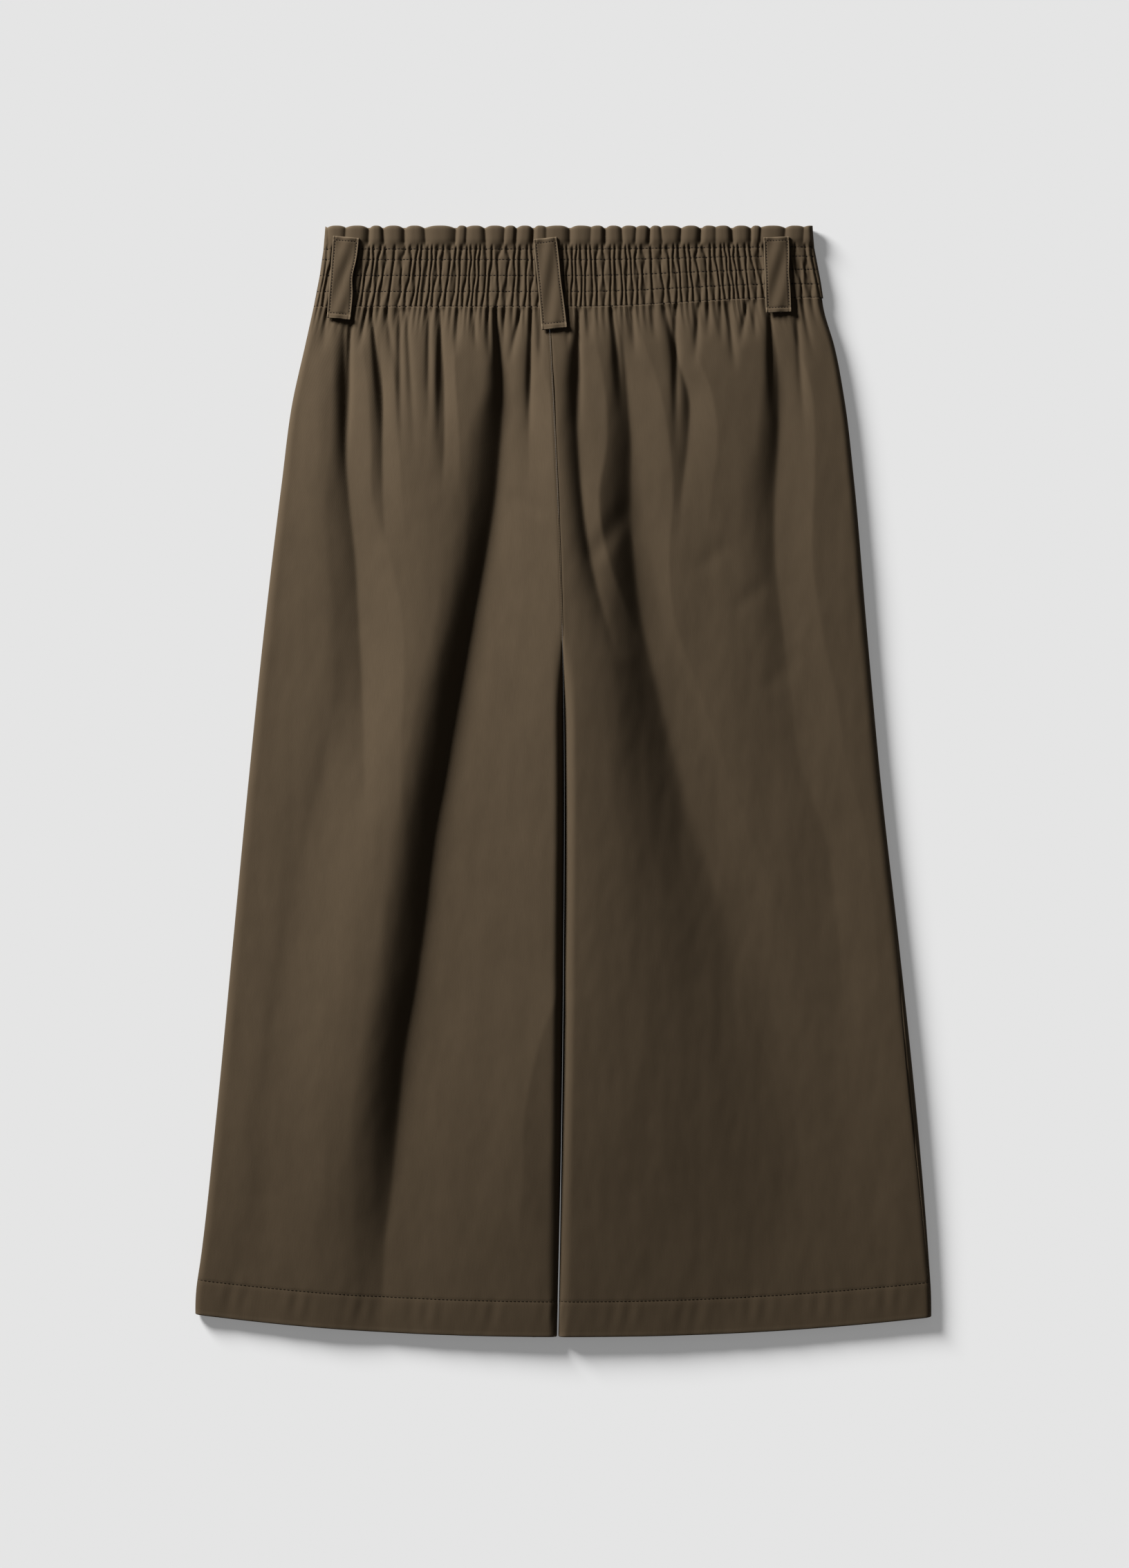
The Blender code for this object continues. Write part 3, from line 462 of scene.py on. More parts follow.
def twill_finish(name, dark, light, worn, relief):
    """Dyed cotton twill: matte, slightly uneven in colour, and paler where it is worn."""
    finish = bpy.data.materials.new(name)
    finish.use_nodes = True
    tree = finish.node_tree
    shader = tree.nodes["Principled BSDF"]
    pattern = node(tree, "ShaderNodeUVMap", {}, uv_map="pattern").outputs["UV"]
    weave = node(tree, "ShaderNodeGroup", {}, node_tree=twill_group)
    tree.links.new(pattern, weave.inputs["Place"])
    weave.inputs["Rib Pitch"].default_value = RIB_PITCH
    wear = node(tree, "ShaderNodeAttribute", {}, attribute_name="wear").outputs["Fac"]
    patches = reckon(tree, "MULTIPLY", weave.outputs["Mottle"], MOTTLE_COLOUR)
    uneven = reckon(tree, "MULTIPLY_ADD", weave.outputs["Yarn"], YARN_COLOUR, patches)
    dyed = blend_colours(tree, uneven, (*dark, 1), (*light, 1))
    tree.links.new(blend_colours(tree, wear, dyed, (*worn, 1)), shader.inputs["Base Color"])
    height = {"Height": weave.outputs["Relief"], "Strength": relief, "Distance": WEAVE_DEPTH}
    bump = node(tree, "ShaderNodeBump", height)
    tree.links.new(bump.outputs["Normal"], shader.inputs["Normal"])
    shader.inputs["Roughness"].default_value = 0.86
    shader.inputs["Specular IOR Level"].default_value = 0.12
    shader.inputs["Sheen Weight"].default_value = 0.03
    shader.inputs["Sheen Roughness"].default_value = 0.5
    shader.inputs["Sheen Tint"].default_value = (0.75, 0.66, 0.50, 1)
    return finish


leg_twill = twill_finish(
    "olive_twill",
    dark=(0.0418, 0.0287, 0.0161),
    light=(0.0605, 0.0423, 0.0243),
    worn=(0.130, 0.096, 0.060),
    relief=0.35,
)

FRONT_COLUMNS = columns_across(8, 60)
FRONT_LINES = steps((0.0, 0.05, 6), (0.05, 0.95, 90), (0.95, 1.0, 8))
FRONT_CUT = (0.262, 0.745)


def front_leg(side):
    """One front panel, from the lowest shirring to the hem turned up inside it."""
    down_places, deep_places, past_places = hem_walk(FRONT_LINES)

    def lay(column, line):
        down, deep, past = down_places[line], deep_places[line], past_places[line]
        start, end = 1.0 - seam_place(side, down), 2.0
        q = start + (end - start) * FRONT_COLUMNS[column]
        points = moved_in(lambda a, b: leg_point(side, a, b, base_height), q, down, deep)
        points[:, 1] -= past
        points[:, 2] = np.maximum(points[:, 2], 0.0)
        pattern = np.stack([FRONT_COLUMNS[column] * FRONT_CUT[0], -points[:, 1]], axis=-1)
        wear = np.zeros_like(down)
        return points, pattern, wear

    name = "front_left_leg_cloth" if side < 0 else "front_right_leg_cloth"
    piece = cloth_piece(name, len(FRONT_COLUMNS) - 1, len(down_places) - 1, lay, CLOTH_THICK)
    piece.data.materials.append(leg_twill)
    return piece


for side, cad_node in ((-1, "front_left_leg"), (1, "front_right_leg")):
    panel = front_leg(side)
    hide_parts(cad_node)
    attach(panel, "root")


# ---- Back legs ----
# The two back panels lie over the fronts, joined at the centre-back seam, the sides and
# the inseams. They are gathered into the waist and fall in long soft folds.

# Each fold falls from its left over a rounded shoulder to a sharp foot, and rises again to
# its right. left and right are how far it reaches from its foot.
Station = namedtuple("Station", "y x depth left right")
FOLDS = {
    "left_leg_deep_fold": [
        Station(0.333, -0.047, 0.0, 0.01, 0.01),
        Station(0.316, -0.0455, 0.004, 0.01, 0.02),
        Station(0.276, -0.0432, 0.0078, 0.014, 0.032),
        Station(0.238, -0.0445, 0.0098, 0.026, 0.036),
        Station(0.199, -0.048, 0.0112, 0.032, 0.042),
        Station(0.16, -0.0545, 0.0122, 0.03, 0.052),
        Station(0.111, -0.064, 0.0132, 0.028, 0.062),
        Station(0.063, -0.0729, 0.014, 0.029, 0.072),
        Station(0.014, -0.0812, 0.014, 0.03, 0.08),
        Station(-0.034, -0.0899, 0.014, 0.03, 0.086),
        Station(-0.083, -0.0957, 0.014, 0.031, 0.09),
        Station(-0.131, -0.1016, 0.013, 0.032, 0.1),
        Station(-0.18, -0.1103, 0.0128, 0.032, 0.092),
        Station(-0.229, -0.1152, 0.012, 0.034, 0.086),
        Station(-0.277, -0.1191, 0.0094, 0.038, 0.088),
        Station(-0.326, -0.1249, 0.0056, 0.038, 0.092),
        Station(-0.37, -0.127, 0.0022, 0.036, 0.106),
        Station(-0.39, -0.128, 0.001, 0.036, 0.106),
    ],
    "left_leg_outer_fold": [
        Station(0.333, -0.154, 0.0, 0.008, 0.008),
        Station(0.276, -0.154, 0.0042, 0.009, 0.016),
        Station(0.238, -0.1535, 0.0042, 0.011, 0.018),
        Station(0.199, -0.1505, 0.0042, 0.017, 0.016),
        Station(0.16, -0.1463, 0.0046, 0.021, 0.023),
        Station(0.111, -0.1434, 0.0045, 0.024, 0.03),
        Station(0.063, -0.141, 0.0038, 0.026, 0.028),
        Station(0.014, -0.1395, 0.0022, 0.026, 0.025),
        Station(-0.034, -0.139, 0.0, 0.026, 0.025),
    ],
    "left_leg_second_gather": [
        Station(0.328, -0.131, 0.0, 0.008, 0.008),
        Station(0.276, -0.1275, 0.0036, 0.009, 0.009),
        Station(0.238, -0.127, 0.0032, 0.011, 0.011),
        Station(0.199, -0.1265, 0.002, 0.014, 0.013),
        Station(0.16, -0.124, 0.0, 0.015, 0.014),
    ],
    "left_leg_third_gather": [
        Station(0.328, -0.086, 0.0, 0.007, 0.008),
        Station(0.28, -0.0841, 0.0036, 0.008, 0.008),
        Station(0.238, -0.0835, 0.002, 0.01, 0.01),
        Station(0.2, -0.085, 0.0, 0.012, 0.012),
    ],
    "left_seat_gather": [
        Station(0.328, -0.024, 0.0, 0.008, 0.014),
        Station(0.28, -0.0236, 0.0024, 0.011, 0.018),
        Station(0.238, -0.024, 0.0012, 0.012, 0.018),
        Station(0.195, -0.024, 0.0, 0.012, 0.018),
    ],
    "right_seat_fold": [
        Station(0.328, 0.0095, 0.0, 0.008, 0.008),
        Station(0.285, 0.008, 0.0044, 0.011, 0.019),
        Station(0.238, 0.0098, 0.005, 0.013, 0.02),
        Station(0.199, 0.0125, 0.0048, 0.013, 0.012),
        Station(0.16, 0.018, 0.0048, 0.017, 0.012),
        Station(0.126, 0.026, 0.0034, 0.022, 0.016),
        Station(0.085, 0.038, 0.0, 0.03, 0.02),
    ],
    "right_leg_broad_fold": [
        Station(0.328, 0.04, 0.0, 0.008, 0.008),
        Station(0.276, 0.0445, 0.005, 0.016, 0.022),
        Station(0.238, 0.0475, 0.0058, 0.02, 0.026),
        Station(0.199, 0.048, 0.006, 0.022, 0.028),
        Station(0.16, 0.0495, 0.0055, 0.023, 0.024),
        Station(0.111, 0.056, 0.0052, 0.03, 0.022),
        Station(0.063, 0.069, 0.0036, 0.036, 0.026),
        Station(0.014, 0.082, 0.003, 0.04, 0.03),
        Station(-0.034, 0.095, 0.0024, 0.045, 0.034),
        Station(-0.131, 0.12, 0.001, 0.06, 0.045),
        Station(-0.229, 0.115, 0.0, 0.072, 0.06),
        Station(-0.39, 0.11, 0.0, 0.075, 0.07),
    ],
    "right_leg_middle_gather": [
        Station(0.325, 0.076, 0.0, 0.009, 0.012),
        Station(0.3, 0.0795, 0.0026, 0.011, 0.014),
        Station(0.27, 0.088, 0.0042, 0.014, 0.016),
        Station(0.238, 0.0875, 0.0028, 0.016, 0.02),
        Station(0.199, 0.083, 0.0015, 0.016, 0.02),
        Station(0.165, 0.081, 0.0, 0.016, 0.018),
    ],
    "right_leg_loop_fold": [
        Station(0.33, 0.1465, 0.0, 0.008, 0.008),
        Station(0.276, 0.151, 0.0054, 0.013, 0.022),
        Station(0.238, 0.151, 0.0052, 0.018, 0.025),
        Station(0.199, 0.149, 0.005, 0.025, 0.026),
        Station(0.16, 0.149, 0.0044, 0.026, 0.025),
        Station(0.111, 0.154, 0.0036, 0.028, 0.026),
        Station(0.063, 0.16, 0.003, 0.036, 0.03),
        Station(0.014, 0.166, 0.0024, 0.038, 0.032),
        Station(-0.034, 0.183, 0.0022, 0.04, 0.028),
        Station(-0.083, 0.191, 0.002, 0.04, 0.025),
        Station(-0.131, 0.195, 0.0014, 0.036, 0.025),
        Station(-0.19, 0.197, 0.0, 0.034, 0.025),
    ],
}
WALL_POWER = 2.2  # how rounded a fold's left shoulder is
RISE_POWER = 1.0  # and how even its rise to the right
FOLD_ROUNDING = 0.03  # how rounded a fold's foot is, as a share of its reach
LOWEST_BACK, SOFT_STOP = 0.0046, 0.0014  # where a fold's foot meets the front, and how softly
SEAM_DEPTH, SEAM_WIDTH = 0.0004, 0.0009
RIPPLE_START = 0.03  # below the waist, where the faint unevenness is full

# Smaller gathers that run out of the shirring: where each starts and ends, and its size.
Gather = namedtuple("Gather", "top_x end_x end_y depth width")
GATHERS = [
    Gather(-0.1657, -0.169, 0.3, 0.0012, 0.003),
    Gather(-0.1492, -0.153, 0.215, 0.0023, 0.003),
    Gather(-0.1385, -0.1435, 0.3, 0.0017, 0.0026),
    Gather(-0.1351, -0.1255, 0.24, 0.0023, 0.003),
    Gather(-0.1244, -0.1185, 0.285, 0.0017, 0.003),
    Gather(-0.1152, -0.114, 0.225, 0.0019, 0.0034),
    Gather(-0.1103, -0.104, 0.225, 0.0014, 0.0034),
    Gather(-0.0948, -0.0945, 0.243, 0.0019, 0.003),
    Gather(-0.0865, -0.087, 0.23, 0.0021, 0.003),
    Gather(-0.0734, -0.076, 0.297, 0.0016, 0.0026),
    Gather(-0.0637, -0.061, 0.3, 0.0016, 0.0026),
    Gather(-0.0535, -0.052, 0.292, 0.0017, 0.0028),
    Gather(-0.0481, -0.044, 0.27, 0.0023, 0.003),
    Gather(-0.0418, -0.042, 0.3, 0.0014, 0.0024),
    Gather(-0.0296, -0.0385, 0.29, 0.0019, 0.0028),
    Gather(-0.0224, -0.0245, 0.235, 0.0021, 0.0028),
    Gather(-0.016, -0.0165, 0.285, 0.0014, 0.0024),
    Gather(0.0024, 0.003, 0.302, 0.0014, 0.0024),
    Gather(0.0107, 0.01, 0.24, 0.0023, 0.0028),
    Gather(0.0175, 0.019, 0.306, 0.0014, 0.0024),
    Gather(0.034, 0.042, 0.25, 0.0021, 0.0034),
    Gather(0.0471, 0.051, 0.295, 0.0017, 0.0028),
    Gather(0.0612, 0.065, 0.305, 0.0014, 0.0026),
    Gather(0.071, 0.08, 0.29, 0.0017, 0.0028),
    Gather(0.0787, 0.079, 0.225, 0.0023, 0.0034),
    Gather(0.0948, 0.0925, 0.285, 0.0018, 0.0028),
    Gather(0.1011, 0.102, 0.305, 0.0014, 0.0024),
    Gather(0.1094, 0.112, 0.3, 0.0014, 0.0026),
    Gather(0.1152, 0.121, 0.28, 0.002, 0.003),
    Gather(0.1293, 0.124, 0.298, 0.0017, 0.0028),
    Gather(0.1341, 0.135, 0.303, 0.0014, 0.0024),
    Gather(0.1448, 0.1475, 0.25, 0.0023, 0.0028),
    Gather(0.1628, 0.17, 0.235, 0.0017, 0.0034),
    Gather(0.1667, 0.176, 0.29, 0.0012, 0.0026),
]

GATHER_WIDTHS = (0.45, 0.9)  # shares of its width: at the top, and added by its end
GATHER_START, GATHER_HEAD_START = 0.006, 0.3  # how soon below the shirring it is full
GATHER_REACH, GATHER_END, GATHER_FADE = 1.2, 1.05, 1.6  # in its own lengths, and how fast it fades
GATHER_POWER = 1.5  # how steep its sides are

# Creases that cross the legs: each runs from one point to another.
Crease = namedtuple("Crease", "from_x from_y to_x to_y depth width")
CREASES = [
    Crease(0.05, 0.199, 0.016, 0.15, 0.0012, 0.007),
    Crease(0.115, 0.115, 0.145, 0.142, 0.0005, 0.006),
    Crease(0.09, 0.145, 0.12, 0.17, 0.0005, 0.006),
    Crease(0.138, 0.06, 0.172, 0.096, 0.0005, 0.007),
    Crease(-0.042, 0.203, -0.008, 0.185, 0.0006, 0.006),
]
CREASE_FADE = 0.3  # the share of a crease over which each of its ends fades

PLEATS = 82
PLEAT_DEPTH = 0.0014
STITCHED_SHARE = 0.92  # the depth that is left where a row of stitching holds a pleat
PLEAT_FADE = 0.013
# How the pleats bunch: by how many of them, and how fast it comes and goes.
Drift = namedtuple("Drift", "pleats speed")
PLEAT_DRIFT = [Drift(0.55, 23.0), Drift(0.30, 61.0)]

# Faint unevenness: how often it comes across and along the leg, which noise, and how high.
Ripple = namedtuple("Ripple", "across along layer height")
RIPPLES = [Ripple(55.0, 17.0, 0.3, 0.0004), Ripple(140.0, 60.0, 4.1, 0.00014)]


def pleat_turns(across):
    """How many pleats lie to the left, at a share of the way across."""
    turns = PLEATS * across
    for drift in PLEAT_DRIFT:
        turns = turns + drift.pleats * np.sin(drift.speed * across)
    return turns


def pinched(turns):
    """Round ridges between narrow valleys: 0 on a ridge, 1 in a valley."""
    return 1.0 - np.abs(np.sin(math.pi * turns))


def fold_depth(x, y):
    """Depth of the long folds, the gathers and the creases together."""
    total = np.zeros_like(x)
    for stations in FOLDS.values():
        off = x - follow(y, stations, "x")
        reach = np.where(off < 0, follow(y, stations, "left"), follow(y, stations, "right"))
        inside = (y < stations[0].y) & (y > stations[-1].y)
        depth = np.where(inside, follow(y, stations, "depth"), 0.0)
        apart = np.hypot(off / reach, FOLD_ROUNDING) - FOLD_ROUNDING
        near = np.clip(1.0 - apart, 0.0, 1.0)
        total += depth * near ** np.where(off < 0, WALL_POWER, RISE_POWER)
    return total


def gather_depth(x, y):
    """Narrow valleys that start at the shirring, open out and fade."""
    total = np.zeros_like(x)
    below = waist_y(x) - y
    for g in GATHERS:
        length = WAIST_Y - g.end_y
        t = np.clip(below / length, 0.0, GATHER_REACH)
        off = np.abs(x - (g.top_x + (g.end_x - g.top_x) * t))
        width = g.width * (GATHER_WIDTHS[0] + GATHER_WIDTHS[1] * t)
        fade = ease(below / GATHER_START + GATHER_HEAD_START) * ease((GATHER_END - t) * GATHER_FADE)
        total += g.depth * fade / (1.0 + (off / width) ** 2) ** GATHER_POWER
    return total


def crease_depth(x, y):
    """Short creases across the legs."""
    total = np.zeros_like(x)
    for c in CREASES:
        run = np.array([c.to_x - c.from_x, c.to_y - c.from_y])
        length = np.linalg.norm(run)
        run /= length
        along = (x - c.from_x) * run[0] + (y - c.from_y) * run[1]
        off = (x - c.from_x) * run[1] - (y - c.from_y) * run[0]
        fade = CREASE_FADE * length
        ends = ease(along / fade) * ease((length - along) / fade)
        total += c.depth * ends * np.exp(-((off / c.width) ** 2))
    return total


def pleat_depth(x, y):
    """Pleats held by the lowest shirring, which let go just below it."""
    below = np.clip(waist_y(x) - y, 0.0, None)
    pleats = PLEAT_DEPTH * STITCHED_SHARE * pinched(pleat_turns(share_across(x, y)))
    return pleats * np.exp(-((below / PLEAT_FADE) ** 2))


def ripple(x, y):
    """Faint unevenness of worn cotton, longer down the leg than across it."""
    total = np.zeros_like(x)
    for r in RIPPLES:
        waves = [noise.noise((a * r.across, b * r.along, r.layer)) for a, b in zip(x, y)]
        total += r.height * np.array(waves)
    return total


def seam_dip(x, y):
    """The centre-back seam, a narrow furrow from the waist to the crotch."""
    off = (x - follow(y, MIDDLE, "x")) / SEAM_WIDTH
    return SEAM_DEPTH * np.exp(-(off**2)) * ease((y - CROTCH_Y) / RIPPLE_START)


def back_height(x, y):
    """Outer height of the back panels."""
    height = base_height(x, y) - fold_depth(x, y) - crease_depth(x, y)
    over = height - LOWEST_BACK
    height = LOWEST_BACK + 0.5 * (over + np.sqrt(over**2 + SOFT_STOP**2))
    fine = gather_depth(x, y) + pleat_depth(x, y) + seam_dip(x, y)
    return height - fine + ripple(x, y) * ease((waist_y(x) - y) / RIPPLE_START)


BACK_COLUMNS = columns_across(9, 164)
BACK_LINES = steps(
    (0.0, 0.010, 8),
    (0.010, 0.085, 36),
    (0.085, 0.95, 168),
    (0.95, 0.962, 4),
    (0.962, 0.971, 14),
    (0.971, 1.0, 12),
)
BACK_CUT = (0.285, 0.760)
HEM_STEP, HEM_STEP_WIDTH = 0.0001, 0.004  # how far the turned-up hem stands out
HEM_GROOVE, HEM_GROOVE_WIDTH = 0.00012, 0.0010  # how far its stitching pulls in
HEM_PUCKER, PUCKER_TURNS, PUCKER_SLANT = 0.00020, (150.0, 19.0), 0.2
PUCKER_MIDDLE, PUCKER_TIGHTNESS = 0.35, 6.0  # how far down the hem it is most, and how narrow
HEM_WEAR, HEM_WEAR_SHARE = 0.35, 0.002
SEAM_WEAR = 0.04


def back_face(side, q, down, deep):
    """Points of a back panel's outer face, or deep inside it, with the hem's stitched line."""
    above_hem = (1 - down) * (WAIST_Y - HEM_Y) - HEM_DEPTH
    groove = HEM_GROOVE * np.exp(-((above_hem / HEM_GROOVE_WIDTH) ** 2))
    raised = HEM_STEP * ease(-above_hem / HEM_STEP_WIDTH)
    pulled = np.sin(PUCKER_TURNS[0] * (q + PUCKER_SLANT * down)) * np.sin(PUCKER_TURNS[1] * q + side) ** 2
    off_middle = above_hem / HEM_DEPTH + PUCKER_MIDDLE
    raised += HEM_PUCKER * pulled * np.exp(-(off_middle**2) * PUCKER_TIGHTNESS)
    depth = deep + groove - raised
    return moved_in(lambda a, b: leg_point(side, a, b, back_height), q, down, depth)


def back_leg(side):
    """One back panel, from the lowest shirring to the hem turned up inside it."""
    down_places, deep_places, past_places = hem_walk(BACK_LINES)

    def lay(column, line):
        down, deep, past = down_places[line], deep_places[line], past_places[line]
        q = BACK_COLUMNS[column] * (1.0 - seam_place(side, down))
        points = back_face(side, q, down, deep)
        points[:, 1] -= past
        pattern = np.stack([q * BACK_CUT[0], -points[:, 1]], axis=-1)
        wear = HEM_WEAR * np.exp(-(((1 - down) / HEM_WEAR_SHARE) ** 2)) * (deep < HEM_LAYER)
        off_seam = points[:, 0] - follow(points[:, 1], MIDDLE, "x") - SEAM_WIDTH
        wear += SEAM_WEAR * np.exp(-((off_seam / SEAM_WIDTH) ** 2)) * (points[:, 1] > CROTCH_Y)
        return points, pattern, wear

    name = "back_left_leg_cloth" if side < 0 else "back_right_leg_cloth"
    piece = cloth_piece(name, len(BACK_COLUMNS) - 1, len(down_places) - 1, lay, CLOTH_THICK)
    piece.data.materials.append(leg_twill)
    return piece


for side, cad_node in ((-1, "back_left_leg"), (1, "back_right_leg")):
    panel = back_leg(side)
    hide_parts(cad_node)
    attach(panel, "root")


# ---- Hem stitches ----
# One row of thread along the top of each back hem, each stitch a short rounded shape that
# is half sunk in the cloth.
STITCH_SIDES, STITCH_RINGS = 6, 4
STITCH_THREAD = 0.00034  # half the thread's thickness
HEM_STITCH, HEM_PITCH = 0.0021, 0.0028
HEM_ROW_POINTS = 600

one_stitch = bmesh.new()
bmesh.ops.create_uvsphere(one_stitch, u_segments=STITCH_SIDES, v_segments=STITCH_RINGS, radius=1.0)
one_stitch.verts.index_update()
stitch_points = np.array([corner.co[:] for corner in one_stitch.verts])
stitch_faces = [[corner.index for corner in face.verts] for face in one_stitch.faces]
one_stitch.free()


def thread(name, colour):
    """A dull cotton thread."""
    finish = bpy.data.materials.new(name)
    finish.use_nodes = True
    shader = finish.node_tree.nodes["Principled BSDF"]
    shader.inputs["Base Color"].default_value = colour
    shader.inputs["Roughness"].default_value = 0.8
    shader.inputs["Specular IOR Level"].default_value = 0.08
    return finish


hem_thread = thread("brown_thread", (0.016, 0.011, 0.006, 1))


def stitches(name, paths, length, pitch, finish):
    """Thread along paths of points, as one mesh of separate stitches."""
    points, faces = [], []
    for path in paths:
        run = np.linalg.norm(np.diff(path, axis=0), axis=1)
        run = np.concatenate([[0.0], np.cumsum(run)])
        for start in np.arange(0.5 * (pitch - length), run[-1] - length, pitch):
            first, last = (
                np.array([np.interp(place, run, path[:, k]) for k in range(3)])
                for place in (start, start + length)
            )
            along = (last - first) / 2
            across = np.array([-along[1], along[0], 0.0])
            across *= STITCH_THREAD / np.linalg.norm(across)
            up = np.cross(along, across)
            up *= STITCH_THREAD / np.linalg.norm(up)
            earlier = len(points) * len(stitch_points)
            faces += [[corner + earlier for corner in face] for face in stitch_faces]
            points.append((first + last) / 2 + stitch_points @ np.array([across, up, along]))
    data = bpy.data.meshes.new(name)
    data.from_pydata(np.concatenate(points).tolist(), [], faces)
    data.shade_smooth()
    data.materials.append(finish)
    sewing = bpy.data.objects.new(name, data)
    bpy.context.collection.objects.link(sewing)
    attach(sewing, "root")


for side, name in ((-1, "hem_stitches_left"), (1, "hem_stitches_right")):
    down = np.full(HEM_ROW_POINTS, 1.0 - HEM_DEPTH / (WAIST_Y - HEM_Y))
    end = 1.0 - seam_place(side, down)[0]
    row = back_face(side, np.linspace(0.0, end, HEM_ROW_POINTS), down, 0.0)
    stitches(name, [row], HEM_STITCH, HEM_PITCH, hem_thread)


# ---- Back of the waist ----
# A casing cut in one with the legs, shirred by five rows of stitching on elastic, with a
# frill of doubled cloth above the top row.
ShirringRow = namedtuple("ShirringRow", "y rise")
SHIRRING = [
    ShirringRow(0.3735, 0.0015),
    ShirringRow(0.3662, 0.0024),
    ShirringRow(0.355, 0.0044),
    ShirringRow(0.3438, 0.0054),
    ShirringRow(0.3332, 0.0063),
]
FRILL_Y = 0.3887
FRILL_EDGE_WAVE, FRILL_EDGE_LEVEL = 0.0024, 0.4  # lobe to valley, and its share above the edge
FRILL_FOLD = 0.0006  # how far the folded edge rounds out
FRILL_WEAR, FRILL_WEAR_WIDTH = 0.25, 0.0012
CASING_INSIDE = {"back": 0.0048, "front": 0.0030}  # how high the inner layers lie
CASING_WIDTH = 0.42  # of flat cloth, which the pattern is drawn on

# The frill's valleys from left to right, and how deep each is.
Valley = namedtuple("Valley", "x depth lean")
FRILL = [
    Valley(-0.175, 0.3, 0.0),
    Valley(-0.165, 0.6, -0.001),
    Valley(-0.154, 0.6, 0.001),
    Valley(-0.1375, 1.0, 0.001),
    Valley(-0.1259, 0.9, -0.001),
    Valley(-0.1118, 1.0, 0.0),
    Valley(-0.0967, 0.8, -0.001),
    Valley(-0.0763, 1.0, 0.001),
    Valley(-0.069, 0.5, 0.001),
    Valley(-0.0544, 0.9, -0.001),
    Valley(-0.0423, 0.6, 0.001),
    Valley(-0.034, 0.8, 0.001),
    Valley(-0.0219, 1.0, 0.001),
    Valley(-0.0122, 0.4, 0.0),
    Valley(0.0044, 0.9, 0.0),
    Valley(0.0185, 0.4, 0.001),
    Valley(0.0292, 1.0, 0.0),
    Valley(0.0418, 0.7, -0.001),
    Valley(0.05, 0.5, 0.001),
    Valley(0.0598, 0.9, 0.001),
    Valley(0.07, 0.5, -0.002),
    Valley(0.0817, 0.8, 0.001),
    Valley(0.0957, 1.0, 0.001),
    Valley(0.1069, 0.4, 0.0),
    Valley(0.1191, 1.0, -0.001),
    Valley(0.1317, 0.8, 0.0),
    Valley(0.1376, 0.5, 0.001),
    Valley(0.155, 0.7, 0.001),
    Valley(0.168, 0.4, 0.001),
    Valley(0.18, 0.2, 0.0),
]
FRILL_DEPTH = 0.0025
FRILL_LIFT = 0.0010
FRILL_SHARPNESS = 1.5
LOBES_GROW, LIFT_GROWS, PLEATS_END = 2.5, 2.0, 3.5  # how fast, in frill heights above the top row
STITCH_DIP, STITCH_DIP_WIDTH = 0.0002, 0.0007
PUFF_LENGTH = 0.0035  # from a row of stitches to a full pleat
# How unevenly the pleats cross each row: how often, from where, and by how much.
RowSwell = namedtuple("RowSwell", "often start size")
ROW_SWELL = [
    RowSwell(1.05, 0.4, 0.15),
    RowSwell(0.65, 1.9, 0.22),
    RowSwell(1.35, 3.0, 0.2),
    RowSwell(0.95, 4.4, 0.22),
    RowSwell(1.15, 0.0, 0.0),
]
SWELL_PITCH = 0.47


def shirring_y(x, row):
    """Height of one row of stitching at x."""
    return row.y + row.rise * ease((x - RISE_FROM) / RISE_OVER)


def shirring_lines(x, top):
    """Height of the frill's edge, given as top, and of each row of stitching below it."""
    return np.array([top] + [shirring_y(x, row) for row in SHIRRING])


def frill_hollow(x, up):
    """How far the frill sinks: 0 on a round lobe, and a valley's own depth in it."""
    places = np.array([v.x for v in FRILL])
    deep = np.array([v.depth for v in FRILL])
    lean = np.array([v.lean for v in FRILL])
    shifted = x - np.interp(x, places, lean) * up
    turns = np.interp(shifted, places, np.arange(len(FRILL)))
    nearest = np.clip(np.rint(turns).astype(int), 0, len(FRILL) - 1)
    return pinched(turns) ** FRILL_SHARPNESS * deep[nearest]


def casing_height(x, y):
    """Outer height of the back of the waist: pleats between stitches, lobes above."""
    across = share_across(x, y)
    rows = shirring_lines(x, np.full_like(x, FRILL_Y))
    up_frill = np.clip((y - rows[1]) / (FRILL_Y - rows[1]), 0.0, 1.0)
    off_row = np.min(np.abs(y - rows[1:]), axis=0)
    puff = STITCHED_SHARE + (1 - STITCHED_SHARE) * ease(off_row / PUFF_LENGTH)
    band = np.clip(np.sum(y < rows[1:], axis=0) - 1, 0, len(SHIRRING) - 2)[None]
    upper, lower = (np.take_along_axis(rows[1:], band + k, axis=0)[0] for k in (0, 1))
    t = ease((upper - y) / (upper - lower))
    waves = 2 * math.pi * SWELL_PITCH * PLEATS * across
    turns = np.array([r.size * np.sin(r.often * waves + r.start) for r in ROW_SWELL])
    turns += pleat_turns(across)
    above, below = (np.take_along_axis(turns, band + k, axis=0)[0] for k in (0, 1))
    pleats = PLEAT_DEPTH * puff * pinched(above * (1 - t) + below * t)
    dip = STITCH_DIP * np.exp(-((off_row / STITCH_DIP_WIDTH) ** 2))
    lobes = FRILL_DEPTH * frill_hollow(x, up_frill) * ease(up_frill * LOBES_GROW)
    lift = FRILL_LIFT * ease(up_frill * LIFT_GROWS)
    pleats = pleats * (1 - ease(up_frill * PLEATS_END))
    return base_height(x, y) + lift - pleats - dip - lobes


